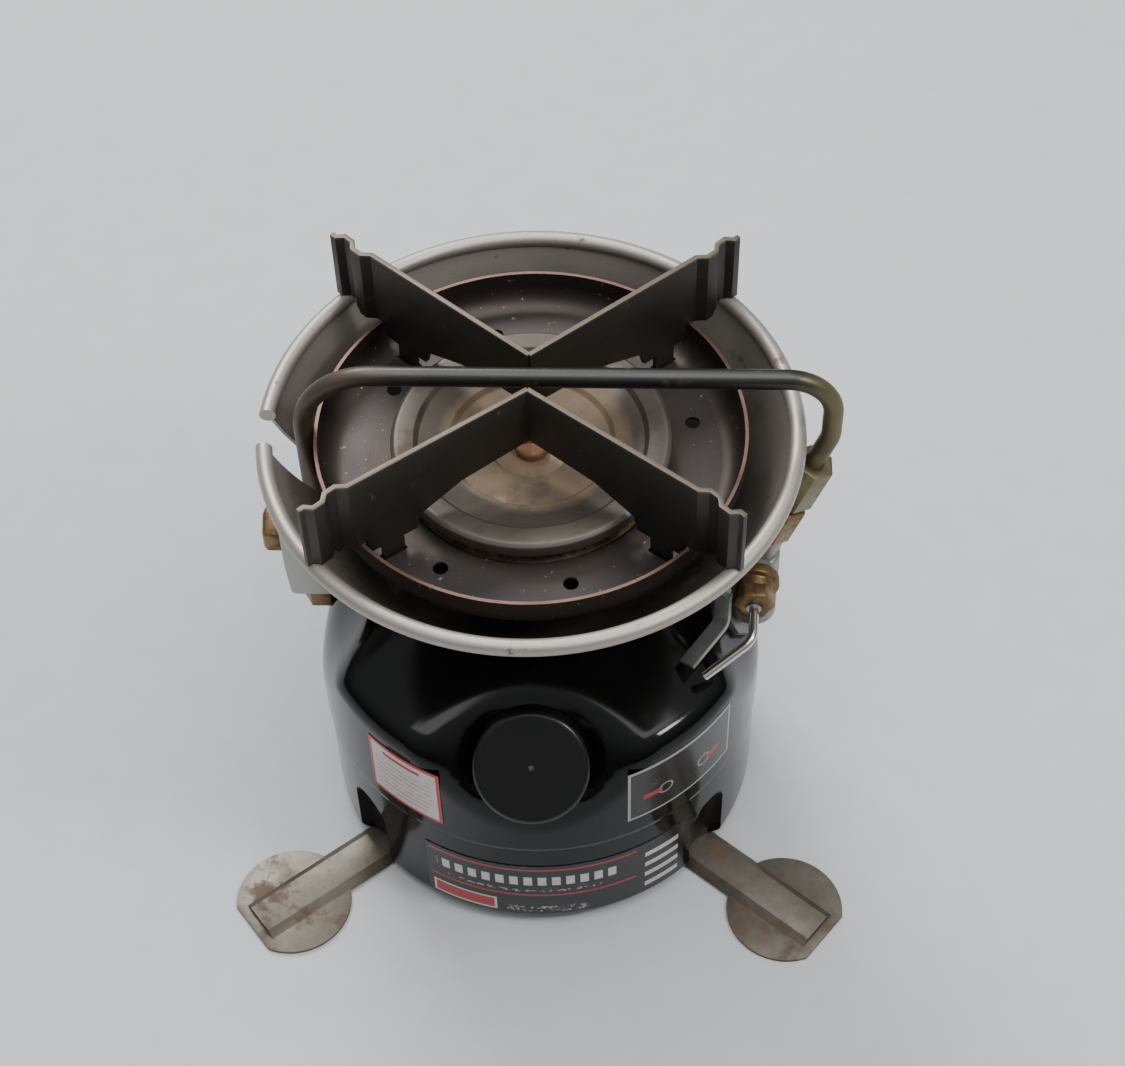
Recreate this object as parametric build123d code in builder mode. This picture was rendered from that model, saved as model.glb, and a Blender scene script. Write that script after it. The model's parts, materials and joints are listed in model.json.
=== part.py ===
from build123d import *
from math import cos, radians, sin, sqrt
import os

os.makedirs("parts", exist_ok=True)

# Single-burner liquid-fuel camp stove, +Z up, millimetres.
# Origin: on the floor, under the tank's axis. The pump faces -Y, the fuel valve +X.

# ---------------------------------------------------------------- driving sizes
tank_radius = 57.8          # outside of the upper half
sheet = 1.0                 # tank sheet thickness
tank_bottom_z = 3.0
seam_z = 38.5               # lower edge of the upper half
shoulder_z = 73.0           # corner where wall and dome would meet
dome_top_z = 85.0
dome_flat_radius = 20.0
lower_radius = 57.3
joggle_radius = tank_radius - sheet - 0.1
joggle_top_z = 44.0

trough_radius = 68.0        # four scooped flats around the dome
trough_slope = 50.0         # degrees below the horizontal, outwards
trough_edge_radius = 57.5   # where the floor of a trough crosses the wall
trough_edge_z = 55.0
trough_azimuths = (0, 90, 180, 270)

leg_azimuths = {"front_right": 51.5, "rear": 180.0, "front_left": -51.5}
leg_pivot_radius = 44.0
leg_sheet = 1.0
leg_top_z = 2.7
foot_centre = 84.0
foot_radius = 15.4
foot_chord = 97.2

knob_radius = 14.6
pump_bore = 9.0
pump_wall = 0.5
pump_length = 66.0
rod_radius = 2.5
stem_radius = 1.5
fit_gap = 0.06              # radial running clearance

bowl_radius = 65.0
rim_z = 138.0
support_top_z = 158.0
support_azimuth = 47.5      # of the arms, from the Y axis
support_sheet = 1.2
tube_radius = 2.4
tube_bore = 1.6
tube_z = 154.4
tube_left_x = -54.0
tube_right_x = 70.8
mix_z = 97.5


def outward(azimuth):
    """Unit vector pointing away from the axis; 0 is the front, 90 the right."""
    return Vector(sin(radians(azimuth)), -cos(radians(azimuth)), 0)


def radial_plane(azimuth, height=0.0):
    """Horizontal plane on the axis whose X runs outwards at this azimuth."""
    return Plane(origin=(0, 0, height), x_dir=outward(azimuth), z_dir=(0, 0, 1))


def level_plane(x, height):
    """Horizontal plane centred at this X."""
    return Plane(origin=(x, 0, height), x_dir=(1, 0, 0), z_dir=(0, 0, 1))


def slope_normal(azimuth):
    """Normal of the trough floor: outwards and up."""
    return outward(azimuth) * sin(radians(trough_slope)) + Vector(0, 0, cos(radians(trough_slope)))


def slope_fall(azimuth):
    """Direction in which the trough floor falls: outwards and down."""
    return outward(azimuth) * cos(radians(trough_slope)) - Vector(0, 0, sin(radians(trough_slope)))


def across(azimuth):
    """Horizontal unit vector at right angles to the outward one."""
    return Vector(0, 0, 1).cross(outward(azimuth))


def trough_plane(azimuth):
    """Section plane of the scoop, with the scoop's axis at its origin."""
    edge = outward(azimuth) * trough_edge_radius + Vector(0, 0, trough_edge_z)
    centre = edge + slope_normal(azimuth) * trough_radius
    return Plane(origin=centre, x_dir=across(azimuth), z_dir=slope_fall(azimuth))


def fitting_plane(azimuth, along_slope, proud):
    """Plane parallel to the trough floor, up the slope from its edge and proud of it."""
    edge = outward(azimuth) * trough_edge_radius + Vector(0, 0, trough_edge_z)
    origin = edge - slope_fall(azimuth) * along_slope + slope_normal(azimuth) * proud
    return Plane(origin=origin, x_dir=across(azimuth), z_dir=slope_normal(azimuth))


def disc(plane, radius):
    """Filled circle on this plane."""
    with BuildSketch(plane) as outline:
        Circle(radius)
    return outline.sketch


def hexagon(plane, across_flats):
    """Filled hexagon on this plane."""
    with BuildSketch(plane) as outline:
        RegularPolygon(across_flats / 2, 6, major_radius=False)
    return outline.sketch


def save(part, name):
    """Label the piece and write its STEP file."""
    part.label = name
    export_step(part, f"parts/{name}.step")


# Knob face centre: 14.5 mm up the slope and 6.4 mm proud of the trough floor.
pump_plane = fitting_plane(0, 14.5, 6.4)
filler_plane = fitting_plane(180, 14.5, 6.4)
pocket_radius = 16.5
pocket_depth = 6.6
pocket_planes = (pump_plane, filler_plane)
valve_seat = fitting_plane(90, 11.0, 0.0)
valve_pocket_radius = 8.0

# ---------------------------------------------------------------- tank
with BuildPart() as upper_cavity:
    with BuildSketch(Plane.XZ):
        with BuildLine():
            Polyline(
                (0, seam_z - 2),
                (tank_radius - sheet, seam_z - 2),
                (tank_radius - sheet, shoulder_z - 0.7),
                (dome_flat_radius, dome_top_z - sheet),
                (0, dome_top_z - sheet),
                close=True,
            )
        make_face()
        fillet(vertices().group_by(Axis.X)[-1].sort_by(Axis.Y)[-1:], radius=3.5)
    revolve(axis=Axis.Z)
    for azimuth in trough_azimuths:
        with BuildSketch(trough_plane(azimuth)):
            Circle(trough_radius + sheet)
        extrude(amount=60, both=True, mode=Mode.SUBTRACT)
    for plane in pocket_planes:
        with BuildSketch(plane.offset(-pocket_depth - sheet)):
            Circle(pocket_radius + sheet)
        extrude(amount=40, mode=Mode.SUBTRACT)
    with BuildSketch(valve_seat.offset(-1.2 - sheet)):
        Circle(valve_pocket_radius + sheet)
    extrude(amount=30, mode=Mode.SUBTRACT)

with BuildPart() as tank_upper_shell:
    with BuildSketch(Plane.XZ):
        with BuildLine():
            Polyline(
                (0, seam_z),
                (tank_radius, seam_z),
                (tank_radius, shoulder_z),
                (dome_flat_radius, dome_top_z),
                (0, dome_top_z),
                close=True,
            )
        make_face()
        fillet(vertices().group_by(Axis.X)[-1].sort_by(Axis.Y)[-1:], radius=4.5)
    revolve(axis=Axis.Z)
    for azimuth in trough_azimuths:
        with BuildSketch(trough_plane(azimuth)):
            Circle(trough_radius)
        extrude(amount=60, both=True, mode=Mode.SUBTRACT)
    for plane in pocket_planes:
        with BuildSketch(plane.offset(-pocket_depth)):
            Circle(pocket_radius)
        extrude(amount=40, mode=Mode.SUBTRACT)
    with BuildSketch(valve_seat.offset(-1.2)):
        Circle(valve_pocket_radius)
    extrude(amount=30, mode=Mode.SUBTRACT)
    add(upper_cavity.part, mode=Mode.SUBTRACT)
    for plane in pocket_planes:
        with BuildSketch(plane.offset(-pocket_depth - 3)):
            Circle(pump_bore + pump_wall)
        extrude(amount=12, mode=Mode.SUBTRACT)
    with BuildSketch(valve_seat.offset(-6)):
        Circle(3.6)
    extrude(amount=12, mode=Mode.SUBTRACT)
save(tank_upper_shell.part, "tank_upper_shell")

dimple_radius = 8.5
dimple_centre = lower_radius + 4.5
dimple_top_z = 21.0
base_corner_radius = 2.2
base_ring_inner = 34.0
base_crown_z = 11.0

with BuildPart() as lower_cavity:
    with BuildSketch(Plane.XZ):
        with BuildLine():
            Polyline(
                (0, base_crown_z + sheet),
                (base_ring_inner - 6, tank_bottom_z + 4 + sheet),
                (base_ring_inner, tank_bottom_z + sheet),
                (lower_radius - sheet, tank_bottom_z + sheet),
                (lower_radius - sheet, seam_z - 1.5),
                (joggle_radius - sheet, seam_z),
                (joggle_radius - sheet, joggle_top_z + 1),
                (0, joggle_top_z + 1),
                close=True,
            )
        make_face()
        corner = vertices().group_by(Axis.Y)[0].sort_by(Axis.X)[-1:]
        fillet(corner, radius=base_corner_radius - sheet)
    revolve(axis=Axis.Z)
    for azimuth in leg_azimuths.values():
        with BuildSketch(radial_plane(azimuth)):
            with Locations((dimple_centre, 0)):
                Circle(dimple_radius + sheet)
        extrude(amount=dimple_top_z, mode=Mode.SUBTRACT)
        with Locations(outward(azimuth) * dimple_centre + Vector(0, 0, dimple_top_z)):
            Sphere(dimple_radius + sheet, mode=Mode.SUBTRACT)

with BuildPart() as tank_lower_shell:
    with BuildSketch(Plane.XZ):
        with BuildLine():
            Polyline(
                (0, base_crown_z),
                (base_ring_inner - 6, tank_bottom_z + 4),
                (base_ring_inner, tank_bottom_z),
                (lower_radius, tank_bottom_z),
                (lower_radius, seam_z - 1.0),
                (joggle_radius, seam_z - 0.2),
                (joggle_radius, joggle_top_z),
                (0, joggle_top_z),
                close=True,
            )
        make_face()
        corner = vertices().group_by(Axis.Y)[0].sort_by(Axis.X)[-1:]
        fillet(corner, radius=base_corner_radius)
    revolve(axis=Axis.Z)
    for azimuth in leg_azimuths.values():
        with BuildSketch(radial_plane(azimuth)):
            with Locations((dimple_centre, 0)):
                Circle(dimple_radius)
        extrude(amount=dimple_top_z, mode=Mode.SUBTRACT)
        with Locations(outward(azimuth) * dimple_centre + Vector(0, 0, dimple_top_z)):
            Sphere(dimple_radius, mode=Mode.SUBTRACT)
    add(lower_cavity.part, mode=Mode.SUBTRACT)
save(tank_lower_shell.part, "tank_lower_shell")

# Thin printed plates on the tank wall: azimuth range, height range, wall radius.
label_sheet = 0.2
label_plates = {
    "label_left": (-45.5, -23.4, 43.5, 66.0, tank_radius),
    "label_right": (24.2, 58.0, 45.5, 67.0, tank_radius),
    "label_band": (-30.0, 42.0, 5.6, 30.0, lower_radius),
}
for name, (start, end, low, high, wall) in label_plates.items():
    with BuildPart() as plate:
        with BuildSketch(Plane(origin=(0, 0, 0), x_dir=outward(start), z_dir=across(start) * -1)):
            with Locations((wall + 0.02 + label_sheet / 2, (low + high) / 2)):
                Rectangle(label_sheet, high - low)
        revolve(axis=Axis.Z, revolution_arc=end - start)
    save(plate.part, name)

# ---------------------------------------------------------------- legs
arm_base_width = 15.0
arm_top_width = 8.5
arm_start = 52.5
flange_lift = 0.8           # the arm's sides stop this far above the floor
root_radius = 7.0
rivet_head_z = 0.5
rivet_head = 1.0
rivet_radius = 2.5


def leg_section(azimuth, distance, thickness):
    """Trapezoid channel section across the arm, open at the bottom if thin."""
    origin = outward(azimuth) * distance
    plane = Plane(origin=origin, x_dir=across(azimuth), z_dir=outward(azimuth))
    half_base = arm_base_width / 2 - thickness
    half_top = arm_top_width / 2 - thickness
    top = leg_top_z - thickness
    return plane, [(-half_base, 0), (half_base, 0), (half_top, top), (-half_top, top)]


for leg_name, azimuth in leg_azimuths.items():
    with BuildPart() as leg:
        with BuildSketch(radial_plane(azimuth)):
            with Locations((foot_centre, 0)):
                Circle(foot_radius)
            with Locations((foot_chord + 10, 0)):
                Rectangle(20, 40, mode=Mode.SUBTRACT)
        extrude(amount=leg_sheet)
        plane, outline = leg_section(azimuth, arm_start, 0)
        with BuildSketch(plane):
            with BuildLine():
                Polyline(*outline, close=True)
            make_face()
        extrude(amount=foot_chord - 2.5 - arm_start)
        plane, outline = leg_section(azimuth, arm_start - 1, leg_sheet)
        with BuildSketch(plane):
            with BuildLine():
                Polyline(*outline, close=True)
            make_face()
        extrude(amount=foot_chord - 4.0 - arm_start, mode=Mode.SUBTRACT)
        with BuildSketch(radial_plane(azimuth, leg_top_z - leg_sheet)):
            with Locations((leg_pivot_radius, 0)):
                Circle(root_radius)
            with Locations(((leg_pivot_radius + arm_start) / 2 + 1, 0)):
                Rectangle(arm_start - leg_pivot_radius + 2, arm_top_width)
            with Locations((leg_pivot_radius, 0)):
                Circle(rivet_radius + fit_gap, mode=Mode.SUBTRACT)
        extrude(amount=leg_sheet)
        with BuildSketch(radial_plane(azimuth, -1)):
            with Locations((arm_start + 8, 0)):
                Rectangle(20, 30)
            with Locations((foot_centre, 0)):
                Circle(foot_radius, mode=Mode.SUBTRACT)
        extrude(amount=1 + flange_lift, mode=Mode.SUBTRACT)
    save(leg.part, f"leg_{leg_name}")

with BuildPart() as leg_rivets:
    for azimuth in leg_azimuths.values():
        spots = [(leg_pivot_radius, 0)]
        with BuildSketch(radial_plane(azimuth, rivet_head_z)):
            with Locations(*spots):
                Circle(rivet_radius)
        extrude(amount=tank_bottom_z - rivet_head_z)
        with BuildSketch(radial_plane(azimuth, rivet_head_z)):
            with Locations(*spots):
                Circle(4.6)
        extrude(amount=rivet_head)
save(leg_rivets.part, "leg_rivets")

# ---------------------------------------------------------------- pump
def pump_disc(plane, depth, radius, thickness, mode=Mode.ADD):
    """Cylinder on a fitting axis: from this depth below the plane, further inwards."""
    extrude(disc(plane.offset(-depth), radius), amount=-thickness, mode=mode)


with BuildPart() as pump_knob:
    pump_disc(pump_plane, 0, knob_radius, 5.8)
    fillet(edges().filter_by(GeomType.CIRCLE).sort_by(lambda e: (e.center() - pump_plane.origin).length)[0],
           radius=1.4)
    pump_disc(pump_plane, 2.0, knob_radius - 1.6, 3.8, Mode.SUBTRACT)
    pump_disc(pump_plane, 1.9, 4.3, 3.2)
    pump_disc(pump_plane, 2.0, rod_radius, 4.0, Mode.SUBTRACT)
    pump_disc(pump_plane, -1, 0.8, 4.0, Mode.SUBTRACT)
save(pump_knob.part, "pump_knob")

with BuildPart() as pump_cylinder:
    pump_disc(pump_plane, 5.4, 11.5, 1.2)
    pump_disc(pump_plane, 6.0, pump_bore + pump_wall, pump_length - 6.0 + 1.0)
    pump_disc(pump_plane, 5.3, pump_bore, pump_length - 5.3, Mode.SUBTRACT)
    pump_disc(pump_plane, 60, 4.0, 12, Mode.SUBTRACT)
save(pump_cylinder.part, "pump_cylinder")

with BuildPart() as pump_cap:
    pump_disc(pump_plane, 5.8, pump_bore, 3.0)
    pump_disc(pump_plane, 5.0, rod_radius + fit_gap, 5.0, Mode.SUBTRACT)
save(pump_cap.part, "pump_cap")

with BuildPart() as pump_rod:
    pump_disc(pump_plane, 2.0, rod_radius, 58.5)
    pump_disc(pump_plane, 2.8, stem_radius + fit_gap, 60.0, Mode.SUBTRACT)
save(pump_rod.part, "pump_rod")

with BuildPart() as pump_cup:
    pump_disc(pump_plane, 54.5, pump_bore - fit_gap, 6.0)
    pump_disc(pump_plane, 55.7, pump_bore - 1.4, 6.0, Mode.SUBTRACT)
    pump_disc(pump_plane, 54.0, rod_radius, 6.0, Mode.SUBTRACT)
save(pump_cup.part, "pump_cup")

with BuildPart() as pump_cup_washers:
    pump_disc(pump_plane, 53.4, 6.5, 1.1)
    pump_disc(pump_plane, 55.7, 6.5, 1.1)
    pump_disc(pump_plane, 53.0, rod_radius, 5.0, Mode.SUBTRACT)
save(pump_cup_washers.part, "pump_cup_washers")

with BuildPart() as air_stem:
    pump_disc(pump_plane, 4.0, stem_radius, 60.0)
save(air_stem.part, "air_stem")

with BuildPart() as check_valve:
    pump_disc(pump_plane, 61.0, 4.0, 11.0)
    pump_disc(pump_plane, 67.0, 5.2, 3.0)
    pump_disc(pump_plane, 60.0, stem_radius + fit_gap, 4.3, Mode.SUBTRACT)
save(check_valve.part, "check_valve")

# ---------------------------------------------------------------- filler
neck_radius = pump_bore + pump_wall
with BuildPart() as filler_neck:
    pump_disc(filler_plane, 5.4, 13.0, 1.2)
    pump_disc(filler_plane, -1.0, neck_radius, 10.5)
    pump_disc(filler_plane, -2.0, 7.6, 14.0, Mode.SUBTRACT)
save(filler_neck.part, "filler_neck")

cap_radius = 13.6
with BuildPart() as filler_cap:
    pump_disc(filler_plane, -5.4, cap_radius, 10.4)
    rim_edges = edges().filter_by(GeomType.CIRCLE)
    top_edge = rim_edges.sort_by(lambda e: e.center().Z)[-1]
    fillet(top_edge, radius=1.2)
    pump_disc(filler_plane, -2.6, neck_radius + 0.35, 8.0, Mode.SUBTRACT)
    with BuildSketch(filler_plane.offset(-5.5)):
        with PolarLocations(cap_radius + 0.9, 14):
            Circle(1.7)
    extrude(amount=12, mode=Mode.SUBTRACT)
save(filler_cap.part, "filler_cap")

with BuildPart() as filler_gasket:
    pump_disc(filler_plane, -2.5, neck_radius - 0.1, 1.4)
save(filler_gasket.part, "filler_gasket")

# ---------------------------------------------------------------- fuel valve
barrel_x = 55.5
stem_z = 86.4
barrel_radius = 5.8
stem_swing = 2.5            # the stem points slightly inwards of straight ahead, degrees
stem_dir = Vector(-sin(radians(stem_swing)), -cos(radians(stem_swing)), 0)
stem_side = Vector(-cos(radians(stem_swing)), sin(radians(stem_swing)), 0)
stem_foot = Vector(barrel_x - 0.3, 0, stem_z)
stem_bore = 1.9
lean = 18.5                 # of the generator's lower end, from upright
lean_dir = Vector(sin(radians(lean)), 0, cos(radians(lean)))
lean_foot = Vector(55.6, 0, 89.4)


def stem_plane(distance, base=stem_foot):
    """Section across the valve stem, this far in front of the barrel's axis."""
    return Plane(origin=base + stem_dir * distance, x_dir=stem_side, z_dir=stem_dir)


def lean_plane(distance):
    """Section across the generator's leaning lower end."""
    return Plane(origin=lean_foot + lean_dir * distance, x_dir=(0, 1, 0), z_dir=lean_dir)


adjuster_offset = Vector(-7.4, 0, 4.0)
spindle_foot = stem_foot + adjuster_offset
spindle_radius = 1.2
strip_seat = 8.8             # how far in front of the barrel's axis the strip lever sits

with BuildPart() as valve_body:
    extrude(hexagon(valve_seat.offset(-1.2), 13.2), amount=3.0)
    extrude(disc(valve_seat.offset(-8), 3.6), amount=14)
    extrude(disc(level_plane(barrel_x, 66), barrel_radius), amount=24.5)
    fillet(edges().group_by(Axis.Z)[-1], radius=1.0)
    extrude(disc(stem_plane(0), 5.4), amount=5.85)
    extrude(disc(lean_plane(-3), 4.2), amount=12.3)
    spindle_boss = Plane(origin=spindle_foot, x_dir=(0, 1, 0), z_dir=(1, 0, 0))
    extrude(disc(spindle_boss.offset(-1.8), 2.4), amount=6)
    extrude(disc(stem_plane(-2), stem_bore + fit_gap), amount=20, mode=Mode.SUBTRACT)
    extrude(disc(stem_plane(-2, spindle_foot), spindle_radius), amount=12, mode=Mode.SUBTRACT)
save(valve_body.part, "valve_body")

with BuildPart() as valve_bonnet:
    extrude(disc(stem_plane(5.85), 6.2), amount=2.7)
    extrude(disc(stem_plane(8.55), 4.5), amount=2.45)
    extrude(disc(stem_plane(5), stem_bore + fit_gap), amount=8, mode=Mode.SUBTRACT)
save(valve_bonnet.part, "valve_bonnet")

with BuildPart() as packing_nut:
    extrude(hexagon(stem_plane(11), 9.2), amount=4.4)
    front_edges = edges().group_by(lambda e: (e.center() - stem_foot).dot(stem_dir))[-1]
    chamfer(front_edges, length=0.7)
    extrude(disc(stem_plane(9), stem_bore + fit_gap), amount=10, mode=Mode.SUBTRACT)
save(packing_nut.part, "packing_nut")

lever_wire = 1.2
with BuildPart() as valve_stem:
    extrude(disc(stem_plane(-1.5), stem_bore), amount=17.2)
    extrude(disc(stem_plane(10), lever_wire), amount=7, mode=Mode.SUBTRACT)
save(valve_stem.part, "valve_stem")

lever_corner = stem_foot + stem_dir * 25.2
lever_tip = lever_corner + Vector(-12.0, -6.2, -7.2)
with BuildPart() as fuel_lever:
    with BuildLine() as lever_path:
        FilletPolyline(stem_foot + stem_dir * 10, lever_corner, lever_tip, radius=4.5)
    with BuildSketch(stem_plane(10)):
        Circle(lever_wire)
    sweep(path=lever_path.wires()[0])
    fillet(edges().filter_by(GeomType.CIRCLE).sort_by(lambda e: (e.center() - lever_tip).length)[0],
           radius=0.4)
save(fuel_lever.part, "fuel_lever")

with BuildPart() as adjuster_spindle:
    extrude(disc(stem_plane(-2, spindle_foot), spindle_radius), amount=strip_seat + 3.6)
    extrude(disc(stem_plane(strip_seat + 1.4, spindle_foot), 2.2), amount=0.9)
save(adjuster_spindle.part, "adjuster_spindle")

strip_width = 4.6
strip_sheet = 1.0
strip_top = spindle_foot + stem_dir * (strip_seat + strip_sheet / 2)
strip_knee = strip_top + Vector(-0.8, -8.0, -7.8)
strip_tip = strip_knee + Vector(-8.6, -11.0, -2.6)
with BuildPart() as adjuster_lever:
    extrude(disc(stem_plane(strip_seat, spindle_foot), 3.2), amount=strip_sheet)
    with BuildLine() as strip_path:
        FilletPolyline(strip_top, strip_knee, strip_tip, radius=4.0)
    fall = strip_knee - strip_top
    with BuildSketch(Plane(origin=strip_top, x_dir=Vector(0.55, -0.35, 0.3).cross(fall), z_dir=fall)):
        Rectangle(strip_sheet, strip_width)
    sweep(path=strip_path.wires()[0])
    extrude(disc(stem_plane(5, spindle_foot), spindle_radius + fit_gap), amount=8, mode=Mode.SUBTRACT)
    extrude(disc(stem_plane(strip_seat + strip_sheet, spindle_foot), 2.6), amount=6, mode=Mode.SUBTRACT)
save(adjuster_lever.part, "adjuster_lever")

with BuildPart() as pickup_tube:
    entry = valve_seat.origin - slope_normal(90) * 8
    with BuildLine() as pickup_path:
        FilletPolyline(entry, entry - slope_normal(90) * 5, (entry.X - 3.83, 0, 13), radius=4.0)
    with BuildSketch(Plane(origin=entry, x_dir=(0, 1, 0), z_dir=slope_normal(90) * -1)):
        Circle(2.0)
        Circle(1.3, mode=Mode.SUBTRACT)
    sweep(path=pickup_path.wires()[0])
save(pickup_tube.part, "pickup_tube")

# ---------------------------------------------------------------- generator
with BuildPart() as generator_collar:
    extrude(hexagon(lean_plane(9.3), 8.8), amount=11.7)
save(generator_collar.part, "generator_collar")

with BuildPart() as generator_nut:
    extrude(hexagon(lean_plane(23.3), 9.4), amount=14.2)
    extrude(disc(lean_plane(21.0), 3.6), amount=2.3)
    extrude(disc(lean_plane(27), tube_radius), amount=20, mode=Mode.SUBTRACT)
save(generator_nut.part, "generator_nut")

tube_start = lean_foot + lean_dir * 27.2
tube_knee = lean_foot + lean_dir * ((tube_right_x - lean_foot.X) / lean_dir.X)
tube_points = [
    tube_start,
    tube_knee,
    (tube_right_x, 0, tube_z),
    (tube_left_x, 0, tube_z),
    (tube_left_x, 0, mix_z + 3),
]
with BuildPart() as generator_tube:
    with BuildLine() as generator_path:
        FilletPolyline(*tube_points, radius=[9.0, 11.5, 18.0])
    with BuildSketch(Plane(origin=tube_start, x_dir=(0, 1, 0), z_dir=lean_dir)):
        Circle(tube_radius)
        Circle(tube_bore, mode=Mode.SUBTRACT)
    sweep(path=generator_path.wires()[0])
save(generator_tube.part, "generator_tube")

with BuildPart() as cleaning_needle:
    with BuildSketch(Plane.XY.offset(mix_z + 4)):
        with Locations((tube_left_x, 0)):
            Circle(0.5)
    extrude(amount=30)
save(cleaning_needle.part, "cleaning_needle")

# ---------------------------------------------------------------- mixer
block_left = -63.0
block_right = -48.0
block_top_z = 105.0
block_foot_z = 78.0
foot_nut_x = -55.5
jet_radius = 2.6
with BuildPart() as mixer_block:
    with BuildSketch(Plane.XZ):
        with BuildLine():
            Polyline(
                (block_left, 89),
                (block_left + 0.7, block_foot_z),
                (block_right - 3, block_foot_z),
                (block_right, 89),
                (block_right, block_top_z),
                (block_left, block_top_z),
                close=True,
            )
        make_face()
    extrude(amount=6.5, both=True)
    fillet(edges().filter_by(Axis.Y), radius=1.5)
    with BuildSketch(Plane.XY.offset(mix_z + 2.5)):
        with Locations((tube_left_x, 0)):
            Circle(tube_radius)
    extrude(amount=20, mode=Mode.SUBTRACT)
    with BuildSketch(Plane.YZ.offset(tube_left_x - 3)):
        with Locations((0, mix_z)):
            Circle(jet_radius)
    extrude(amount=20, mode=Mode.SUBTRACT)
    extrude(disc(level_plane(foot_nut_x, block_foot_z - 1), 2.0), amount=9, mode=Mode.SUBTRACT)
save(mixer_block.part, "mixer_block")

with BuildPart() as tube_nut:
    extrude(hexagon(level_plane(tube_left_x, block_top_z), 8.8), amount=6.0)
    with BuildSketch(Plane.XY.offset(block_top_z - 1)):
        with Locations((tube_left_x, 0)):
            Circle(tube_radius)
    extrude(amount=10, mode=Mode.SUBTRACT)
save(tube_nut.part, "tube_nut")

with BuildPart() as jet_plug:
    plug_plane = Plane(origin=(block_left, 0, mix_z), x_dir=(0, 0, 1), z_dir=(-1, 0, 0))
    extrude(hexagon(plug_plane, 10.7), amount=4.7)
    chamfer(edges().group_by(Axis.X)[0], length=0.9)
save(jet_plug.part, "jet_plug")

with BuildPart() as gas_jet:
    with BuildSketch(Plane.YZ.offset(tube_left_x - 3)):
        with Locations((0, mix_z)):
            Circle(jet_radius)
    extrude(amount=8)
    with BuildSketch(Plane.YZ.offset(tube_left_x - 4)):
        with Locations((0, mix_z)):
            Circle(0.5)
    extrude(amount=14, mode=Mode.SUBTRACT)
    with BuildSketch(Plane.XY.offset(mix_z + 1.5)):
        with Locations((tube_left_x, 0)):
            Circle(tube_radius)
    extrude(amount=6, mode=Mode.SUBTRACT)
save(gas_jet.part, "gas_jet")

with BuildPart() as mixer_stud:
    extrude(disc(level_plane(foot_nut_x, 69.4), 2.0), amount=block_foot_z + 8 - 69.4)
save(mixer_stud.part, "mixer_stud")

with BuildPart() as mixer_nut:
    extrude(hexagon(level_plane(foot_nut_x, 70), 9.0), amount=block_foot_z - 70)
    extrude(disc(level_plane(foot_nut_x, 69), 2.0), amount=10, mode=Mode.SUBTRACT)
save(mixer_nut.part, "mixer_nut")

mix_radius = 6.5
neck_outer = 10.0
with BuildPart() as mixing_tube:
    with BuildSketch(Plane.YZ.offset(block_right)):
        with Locations((0, mix_z)):
            Circle(mix_radius)
            Circle(mix_radius - 0.8, mode=Mode.SUBTRACT)
    extrude(amount=-block_right - neck_outer + 1.2)
    with BuildSketch(Plane.XZ.offset(-10)):
        with Locations((block_right + 7, mix_z)):
            SlotOverall(8, 4)
    extrude(amount=20, mode=Mode.SUBTRACT)
save(mixing_tube.part, "mixing_tube")

# ---------------------------------------------------------------- burner
plate_z = 126.0
ring_floor_z = 122.0
bowl_floor_z = 105.0
with BuildPart() as burner_base:
    with BuildSketch(Plane.XZ):
        with BuildLine():
            Polyline(
                (0, 88),
                (neck_outer, 88),
                (neck_outer, bowl_floor_z + 0.9),
                (13, bowl_floor_z + 0.9),
                (13, 108),
                (36, 123.5),
                (36, plate_z),
                (32.6, plate_z),
                (32.6, ring_floor_z),
                (26, ring_floor_z),
                (24, 118.5),
                (8, 108.5),
                (8, 90),
                (3.5, 90),
                (3.5, 126.8),
                (0, 126.8),
                close=True,
            )
        make_face()
    revolve(axis=Axis.Z)
    with BuildSketch(Plane.YZ.offset(-neck_outer - 1)):
        with Locations((0, mix_z)):
            Circle(mix_radius)
    extrude(amount=4.5, mode=Mode.SUBTRACT)
    with BuildSketch(Plane.XY.offset(112)):
        Circle(1.5)
    extrude(amount=20, mode=Mode.SUBTRACT)
save(burner_base.part, "burner_base")

with BuildPart() as bowl_locknut:
    extrude(hexagon(level_plane(0, 104.1), 26), amount=0.9)
    with BuildSketch(Plane.XY.offset(102)):
        Circle(neck_outer)
    extrude(amount=4, mode=Mode.SUBTRACT)
save(bowl_locknut.part, "bowl_locknut")

bowl_sheet = 0.8
bead_radius = 2.0
bead_centre = bowl_radius - bead_radius
with BuildPart() as burner_bowl:
    with BuildSketch(Plane.XZ):
        with BuildLine():
            floor_line = Line((neck_outer + 0.3, bowl_floor_z), (24, bowl_floor_z))
            side_arc = ThreePointArc((24, bowl_floor_z), (50, 116.5), (bead_centre, rim_z - bead_radius))
            Line(side_arc @ 1, (bead_centre - bowl_sheet, rim_z - bead_radius))
            ThreePointArc(
                (bead_centre - bowl_sheet, rim_z - bead_radius),
                (49.5, 117.2),
                (24, bowl_floor_z + bowl_sheet),
            )
            Line((24, bowl_floor_z + bowl_sheet), (neck_outer + 0.3, bowl_floor_z + bowl_sheet))
            Line((neck_outer + 0.3, bowl_floor_z + bowl_sheet), floor_line @ 0)
        make_face()
        with Locations((bead_centre, rim_z - bead_radius)):
            Circle(bead_radius)
    revolve(axis=Axis.Z)
    # the gap in the wall that lets the generator pass
    with BuildSketch(Plane.XY.offset(112)):
        with Locations((tube_left_x - 8, -1.5)):
            SlotOverall(28, 10)
    extrude(amount=40, mode=Mode.SUBTRACT)
save(burner_bowl.part, "burner_bowl")

support_roots = {"front": (0, Vector(0, -6.6, 0)), "rear": (180, Vector(0, 3.9, 0))}
wave_start = 52.5
wave_depth = 1.7


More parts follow.
